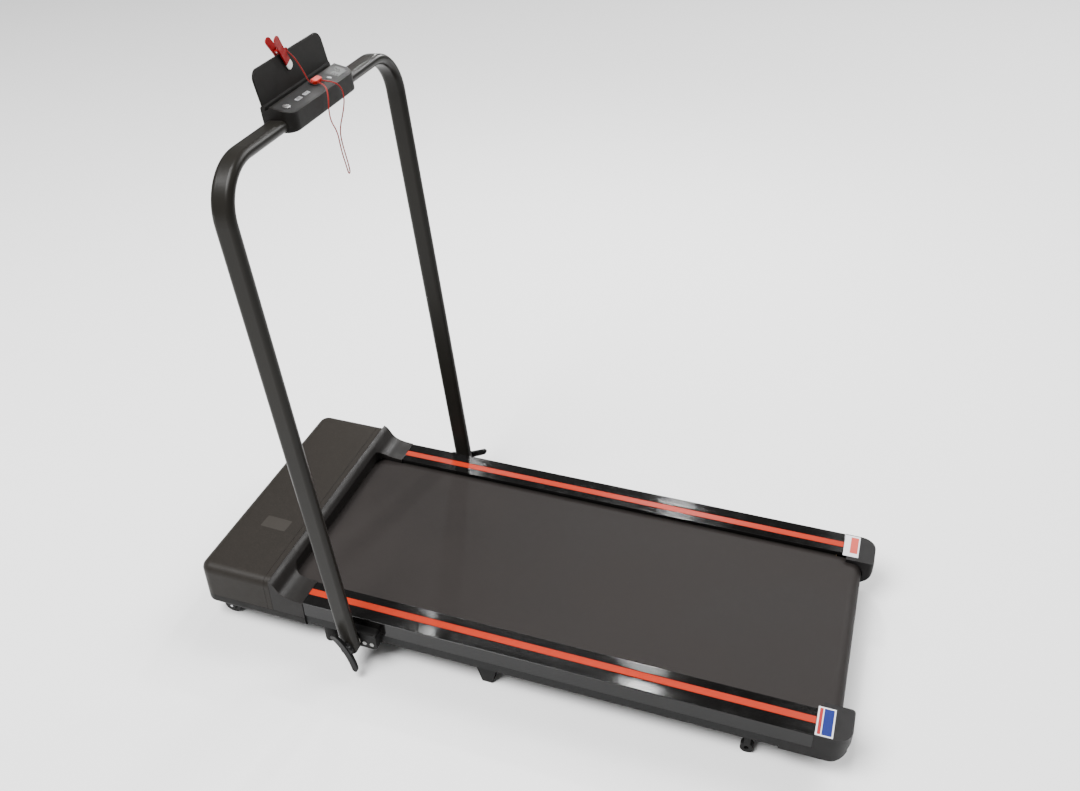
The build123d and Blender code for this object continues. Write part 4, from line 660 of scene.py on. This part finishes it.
# %% [markdown]
# ## The braid
#
# The cord's finish follows its surface and not the room, so it reads the tube's own UV map: turns round
# the cord and metres along it. Two sets of strands wind opposite ways, each a sine of the two numbers
# added or subtracted, and where they cross, one product gives the over-and-under of the braid. Fibres
# catch light at a glancing angle, which is what Sheen is for.

# %% Cord finish and cords
STRANDS = 4
BRAID_PITCH = 4.2 * MM


def cord_finish():
    finish = Finish(
        "cord_red", (0.25, 0.010, 0.007), 0.72, Sheen_Weight=0.15, Sheen_Roughness=0.4,
    )
    surface = finish.node("ShaderNodeUVMap", {"uv_map": "cord"})
    turns = finish.node("ShaderNodeSeparateXYZ", None, {0: surface}, output=0) * (2 * math.pi * STRANDS)
    metres = finish.node("ShaderNodeSeparateXYZ", None, {0: surface}, output=1)
    wind = metres * (2 * math.pi / BRAID_PITCH)
    braid = (turns + wind).sine() * (turns - wind).sine()
    fuzz = finish.noise(5200.0, 3.0)
    finish.relief(braid * 0.6 + fuzz * 0.4, 0.00022, 0.9)
    # The tone follows the braid's height, so the low places between strands are painted darker, which is painted
    # shade; the fuzz adds the fibres' own uneven tone.
    finish.tint(braid * 0.3 + fuzz * 0.6, 0.32)
    return finish.feed("Roughness", 0.66 + 0.14 * fuzz)


dress("cord_red", cord_finish())


def show(name, bm, slot_name):
    """Make an object from a bmesh, with the finish of a slot."""
    mesh = bpy.data.meshes.new(name)
    bm.to_mesh(mesh)
    bm.free()
    mesh.materials.append(finishes[slot_name])
    piece = bpy.data.objects.new(name, mesh)
    bpy.context.scene.collection.objects.link(piece)
    return piece


def make_cord(name, line, node):
    """A braided cord that leaves the key and follows the handrail once it is clear of the key."""
    bm = bmesh.new()
    draw_tube(bm, line, CORD_RADIUS)
    for face in bm.faces:
        face.smooth = True
    cord = show(name, bm, "cord_red")
    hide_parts(node)
    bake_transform(cord)
    return cord


hanging_loop = make_cord(
    "hanging_loop", loop_line, "cord_loop"
)
clip_lead = make_cord(
    "clip_lead", lead_line, "cord_lead"
)
print("cords:", hanging_loop.name, clip_lead.name)

# %% [markdown]
# ## Thin pads and marks
#
# The small raised details are all the same thing at different sizes: a flat pad with round corners and
# a softened rim. The pad starts as a one-cell grid, its corners are bevelled as vertices, its face is
# extruded up, the new rim is bevelled as edges and the open underside is filled. Places come from the
# nodes' own boxes and the keys' joints, whose axis points straight into the console's sloping face.

# %% A pad from a grid, two bevels and an extrusion
def pad(length, width, height, corner, softness):
    """A pad on the XY plane, centred, with round corners and a softened upper rim."""
    bm = bmesh.new()
    bmesh.ops.create_grid(bm, x_segments=1, y_segments=1, size=0.5)
    bmesh.ops.scale(bm, vec=(length, width, 1), verts=bm.verts)
    bmesh.ops.bevel(
        bm, geom=bm.verts[:], offset=corner, segments=6, profile=0.5, affect="VERTICES", material=-1
    )
    grown = bmesh.ops.extrude_face_region(bm, geom=bm.faces[:])["geom"]
    top = [item for item in grown if isinstance(item, bmesh.types.BMVert)]
    bmesh.ops.translate(bm, vec=(0, 0, height), verts=top)
    rim = [edge for edge in bm.edges if all(vert in top for vert in edge.verts)]
    bmesh.ops.bevel(
        bm, geom=rim, offset=softness, segments=2, profile=0.5, affect="EDGES", material=-1
    )
    bmesh.ops.holes_fill(bm, edges=[edge for edge in bm.edges if edge.is_boundary])
    bmesh.ops.recalc_face_normals(bm, faces=bm.faces)
    return bm


def gather(parts):
    """One bmesh from several pairs of a bmesh and its place."""
    whole = bmesh.new()
    for part, place in parts:
        bmesh.ops.transform(part, matrix=place, verts=part.verts)
        mesh = bpy.data.meshes.new("part")
        part.to_mesh(mesh)
        part.free()
        whole.from_mesh(mesh)
        bpy.data.meshes.remove(mesh)
    return whole


def fit(name, parts, slot_name, body, material=None):
    """Show a set of placed parts as one piece that rides on a body."""
    piece = show(name, gather(parts), slot_name)
    if material:
        piece.data.materials[0] = material
    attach(piece, body)
    return piece


def face_place(joint_name, lift):
    """A place on the console's face over a key, its X across and its Z out of the face."""
    joint = joints[joint_name]
    out = -Vector(joint["axis"]).normalized()
    across = Vector((1, 0, 0))
    up_face = out.cross(across)
    turn = Matrix((across, up_face, out)).transposed().to_4x4()
    return Matrix.Translation(Vector(joint["pos_m"]) + out * lift) @ turn


print("pad tool ready")

# %% [markdown]
# ## Labels on the rear caps
#
# Each rail ends in a white film label. The left one has a blue field and a narrow red strip, the right
# one a pale red block. They are printed ink, about a tenth of a millimetre thick, so each field is a
# pad on the film in a satin ink, whose tone and gloss wander a little. There is no lettering.

# %% Printed fields
label_low, label_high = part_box("rear_labels")
LABEL_LENGTH = 66 * MM
INK = 0.12 * MM
INK_CORNER = 0.8 * MM
INK_RIM = 0.04 * MM


def ink(name, colour):
    """A printed ink: a thin satin film of one colour."""
    return moulded(name, colour, 0.42, 500.0, 0.00002).material


def field(side, x_middle, y_share, length, width):
    """A field of ink on a label: a pad across it, and a share of the way along it."""
    y = label_low.y + y_share * (label_high.y - label_low.y)
    place = Matrix.Translation((side * x_middle, y, label_high.z))
    return pad(length, width, INK, INK_CORNER, INK_RIM), place


label_middle = label_high.x - LABEL_LENGTH / 2
blue_field = field(1, label_middle, y_share=0.63, length=60 * MM, width=18 * MM)
red_field = field(1, label_middle, y_share=0.19, length=60 * MM, width=6 * MM)
rose_field = field(-1, label_middle + 3 * MM, y_share=0.66, length=50 * MM, width=16 * MM)
fit("label_blue", [blue_field], "label_film", "base", ink("ink_blue", (0.004, 0.012, 0.12)))
fit("label_red", [red_field], "label_film", "base", ink("ink_red", (0.28, 0.010, 0.012)))
fit("label_rose", [rose_field], "label_film", "base", ink("ink_rose", (0.42, 0.060, 0.045)))
print("labels printed")

# %% [markdown]
# ## A smooth plate on the hood
#
# A plain oblong plate sits almost flush in the hood's dimpled top on the walker's left. It is a satin whose
# slightly lighter colour is a painted highlight, and it is a pad about a third of a millimetre high, sunk by a
# third of that.

# %% Hood plate
PLATE_MIDDLE = (115 * MM, -575 * MM)
PLATE_ACROSS = 34 * MM
PLATE_ALONG = 60 * MM
PLATE_HEIGHT = 0.3 * MM
PLATE_SUNK = 0.1 * MM
PLATE_CORNER = 3 * MM
PLATE_RIM = 0.15 * MM
PLATE_ANGLE = math.radians(-2.0)
hood_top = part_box("motor_hood")[1].z
plate_turn = Matrix.Rotation(PLATE_ANGLE, 4, "Z")
plate_place = Matrix.Translation((*PLATE_MIDDLE, hood_top - PLATE_SUNK)) @ plate_turn
plate = pad(PLATE_ACROSS, PLATE_ALONG, PLATE_HEIGHT, PLATE_CORNER, PLATE_RIM)
# The plate's lighter colour is a painted highlight.
plate_painted_highlight = moulded("plate_plastic_painted_highlight", (0.024, 0.0215, 0.0190), 0.46, 1500.0, 0.00008).material
fit("hood_plate", [(plate, plate_place)], "hood_plastic", "base", plate_painted_highlight)
print("hood plate fitted")

# %% [markdown]
# ## Marks on the speed keys
#
# The two speed keys carry a plus and a minus, printed on the metal. A bar of ink is one pad, and the
# plus is that bar with a second one turned by a quarter. They ride on their keys, so they sink with a
# key that is pressed.

# %% Plus and minus
KEY_TOP = 1.2 * MM
BAR_LENGTH = 5.0 * MM
BAR_WIDTH = 0.9 * MM
BAR_HEIGHT = 0.15 * MM
BAR_CORNER = 0.4 * MM
BAR_RIM = 0.05 * MM
mark_ink = ink("ink_mark", (0.02, 0.02, 0.02))
quarter = Matrix.Rotation(math.pi / 2, 4, "Z")


def bar():
    """One printed bar, lying across its key."""
    return pad(BAR_LENGTH, BAR_WIDTH, BAR_HEIGHT, BAR_CORNER, BAR_RIM)


fit("plus_mark", [(bar(), face_place("speed_up_key_press", KEY_TOP)),
                  (bar(), face_place("speed_up_key_press", KEY_TOP) @ quarter)],
    "button_silver", "speed_up_key", mark_ink)
fit("minus_mark", [(bar(), face_place("speed_down_key_press", KEY_TOP))],
    "button_silver", "speed_down_key", mark_ink)
print("keys marked")

# %% [markdown]
# ## The display's unlit segments
#
# When the machine is off, the numeral segments still show as faint lighter shapes. The window is opaque
# here, so they are thin bars of a lighter ink on its face, seven to a numeral: three across and two
# pairs upright.

# %% Numeral segments
window_low, window_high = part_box("display_window")
WINDOW_THICKNESS = 1.4 * MM
NUMERALS = 4
NUMERAL_PITCH = 8.4 * MM
NUMERAL_WIDTH = 5.0 * MM
NUMERAL_HEIGHT = 9.0 * MM
LEVEL_SEGMENT = 3.6 * MM
UPRIGHT_SEGMENT = 3.2 * MM
SEGMENT_WIDTH = 0.8 * MM
SEGMENT_HEIGHT = 0.1 * MM
SEGMENT_CORNER = 0.3 * MM
SEGMENT_RIM = 0.03 * MM
face_turn = face_place("mode_key_press", 0).to_3x3().to_4x4()
segment_ink = ink("ink_segment", (0.085, 0.09, 0.087))


def segment(length, x, y, turn):
    """One bar of a numeral, with its place on the numeral."""
    shape = pad(length, SEGMENT_WIDTH, SEGMENT_HEIGHT, SEGMENT_CORNER, SEGMENT_RIM)
    return shape, Matrix.Translation((x, y, 0)) @ turn


def numeral(centre):
    """Seven bars about the centre of one numeral, on the sloping face."""
    half_width, half_height = NUMERAL_WIDTH / 2, NUMERAL_HEIGHT / 2
    bars = [segment(LEVEL_SEGMENT, 0, y, Matrix()) for y in (-half_height, 0, half_height)]
    for x in (-half_width, half_width):
        for y in (-half_height / 2, half_height / 2):
            bars.append(segment(UPRIGHT_SEGMENT, x, y, quarter))
    at = Matrix.Translation(centre) @ face_turn
    return [(shape, at @ place) for shape, place in bars]


window_middle = (window_low + window_high) / 2
face_out = face_turn.to_3x3() @ Vector((0, 0, 1))
segments = []
for index in range(NUMERALS):
    shift = (index - (NUMERALS - 1) / 2) * NUMERAL_PITCH
    centre = window_middle + Vector((shift, 0, 0)) + face_out * (WINDOW_THICKNESS / 2)
    segments += numeral(centre)
fit("display_segments", segments, "display_glass", "handrail", segment_ink)
print("display numerals:", len(segments), "segments")

# %% [markdown]
# ## The studio
#
# Dark plastic is drawn by what it reflects, more than by its own colour. A large soft lamp high on
# the left gives the handrail its long soft edge, a second one fills the far side, and a pale floor
# throws light back under the base. Narrow lamps beyond the rails leave bright patches in their
# gloss, as a window does: each hangs where a mirror at that patch would show it.

# %% Floor, sky and lamps
FLOOR_COLOUR = (0.80, 0.80, 0.80)
SKY_COLOUR = (1.0, 1.0, 1.0, 1.0)
SKY_STRENGTH = 0.28
MIRROR_REACH = 2.4


def add_floor():
    """A wide pale floor under the rubber feet."""
    mesh = bpy.data.meshes.new("studio_floor")
    bm = bmesh.new()
    bmesh.ops.create_grid(bm, x_segments=1, y_segments=1, size=30.0)
    bm.to_mesh(mesh)
    bm.free()
    floor = bpy.data.objects.new("studio_floor", mesh)
    bpy.context.scene.collection.objects.link(floor)
    mesh.materials.append(Finish("studio_floor", FLOOR_COLOUR, 0.9, Specular_IOR_Level=0.1).material)
    return floor


def add_lamp(name, place, target, size, power):
    """A rectangular area lamp at a place, turned to face a target."""
    data = bpy.data.lights.new(name, "AREA")
    data.shape = "RECTANGLE"
    data.size, data.size_y = size
    data.energy = power
    lamp = bpy.data.objects.new(name, data)
    lamp.location = place
    facing = Vector(target) - Vector(place)
    lamp.rotation_euler = facing.to_track_quat("-Z", "Y").to_euler()
    bpy.context.scene.collection.objects.link(lamp)
    return lamp


def mirror_lamp(name, spot, size, power):
    """A lamp that a level mirror at the spot shows to the camera."""
    spot = Vector(spot)
    below = Vector((CAMERA_PLACE.x, CAMERA_PLACE.y, 2 * spot.z - CAMERA_PLACE.z))
    away = (spot - below).normalized()
    return add_lamp(name, spot + away * MIRROR_REACH, spot, size, power)


def add_sky():
    """Even pale light from all round."""
    world = bpy.data.worlds.new("studio_sky")
    world.use_nodes = True
    background = world.node_tree.nodes["Background"]
    background.inputs["Color"].default_value = SKY_COLOUR
    background.inputs["Strength"].default_value = SKY_STRENGTH
    bpy.context.scene.world = world
    return world


add_floor()
add_sky()
rail_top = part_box("side_rail_left")[1].z
add_lamp("key_lamp", (2.6, -2.2, 6.0), (0, 0, 0.3), (4.0, 4.0), 1250.0)
add_lamp("fill_lamp", (-4.2, 3.0, 5.0), (0, 0, 0.3), (4.0, 4.0), 680.0)
mirror_lamp("far_window", (-0.235, 0.235, rail_top), (0.13, 0.09), 24.0)
mirror_lamp("post_window", (-0.235, -0.262, rail_top), (0.07, 0.14), 9.0)
mirror_lamp("near_window", (0.262, 0.06, rail_top), (0.62, 0.10), 4.2)
mirror_lamp("near_gap", (0.235, -0.160, rail_top), (0.06, 0.14), 2.2)
print("studio ready")
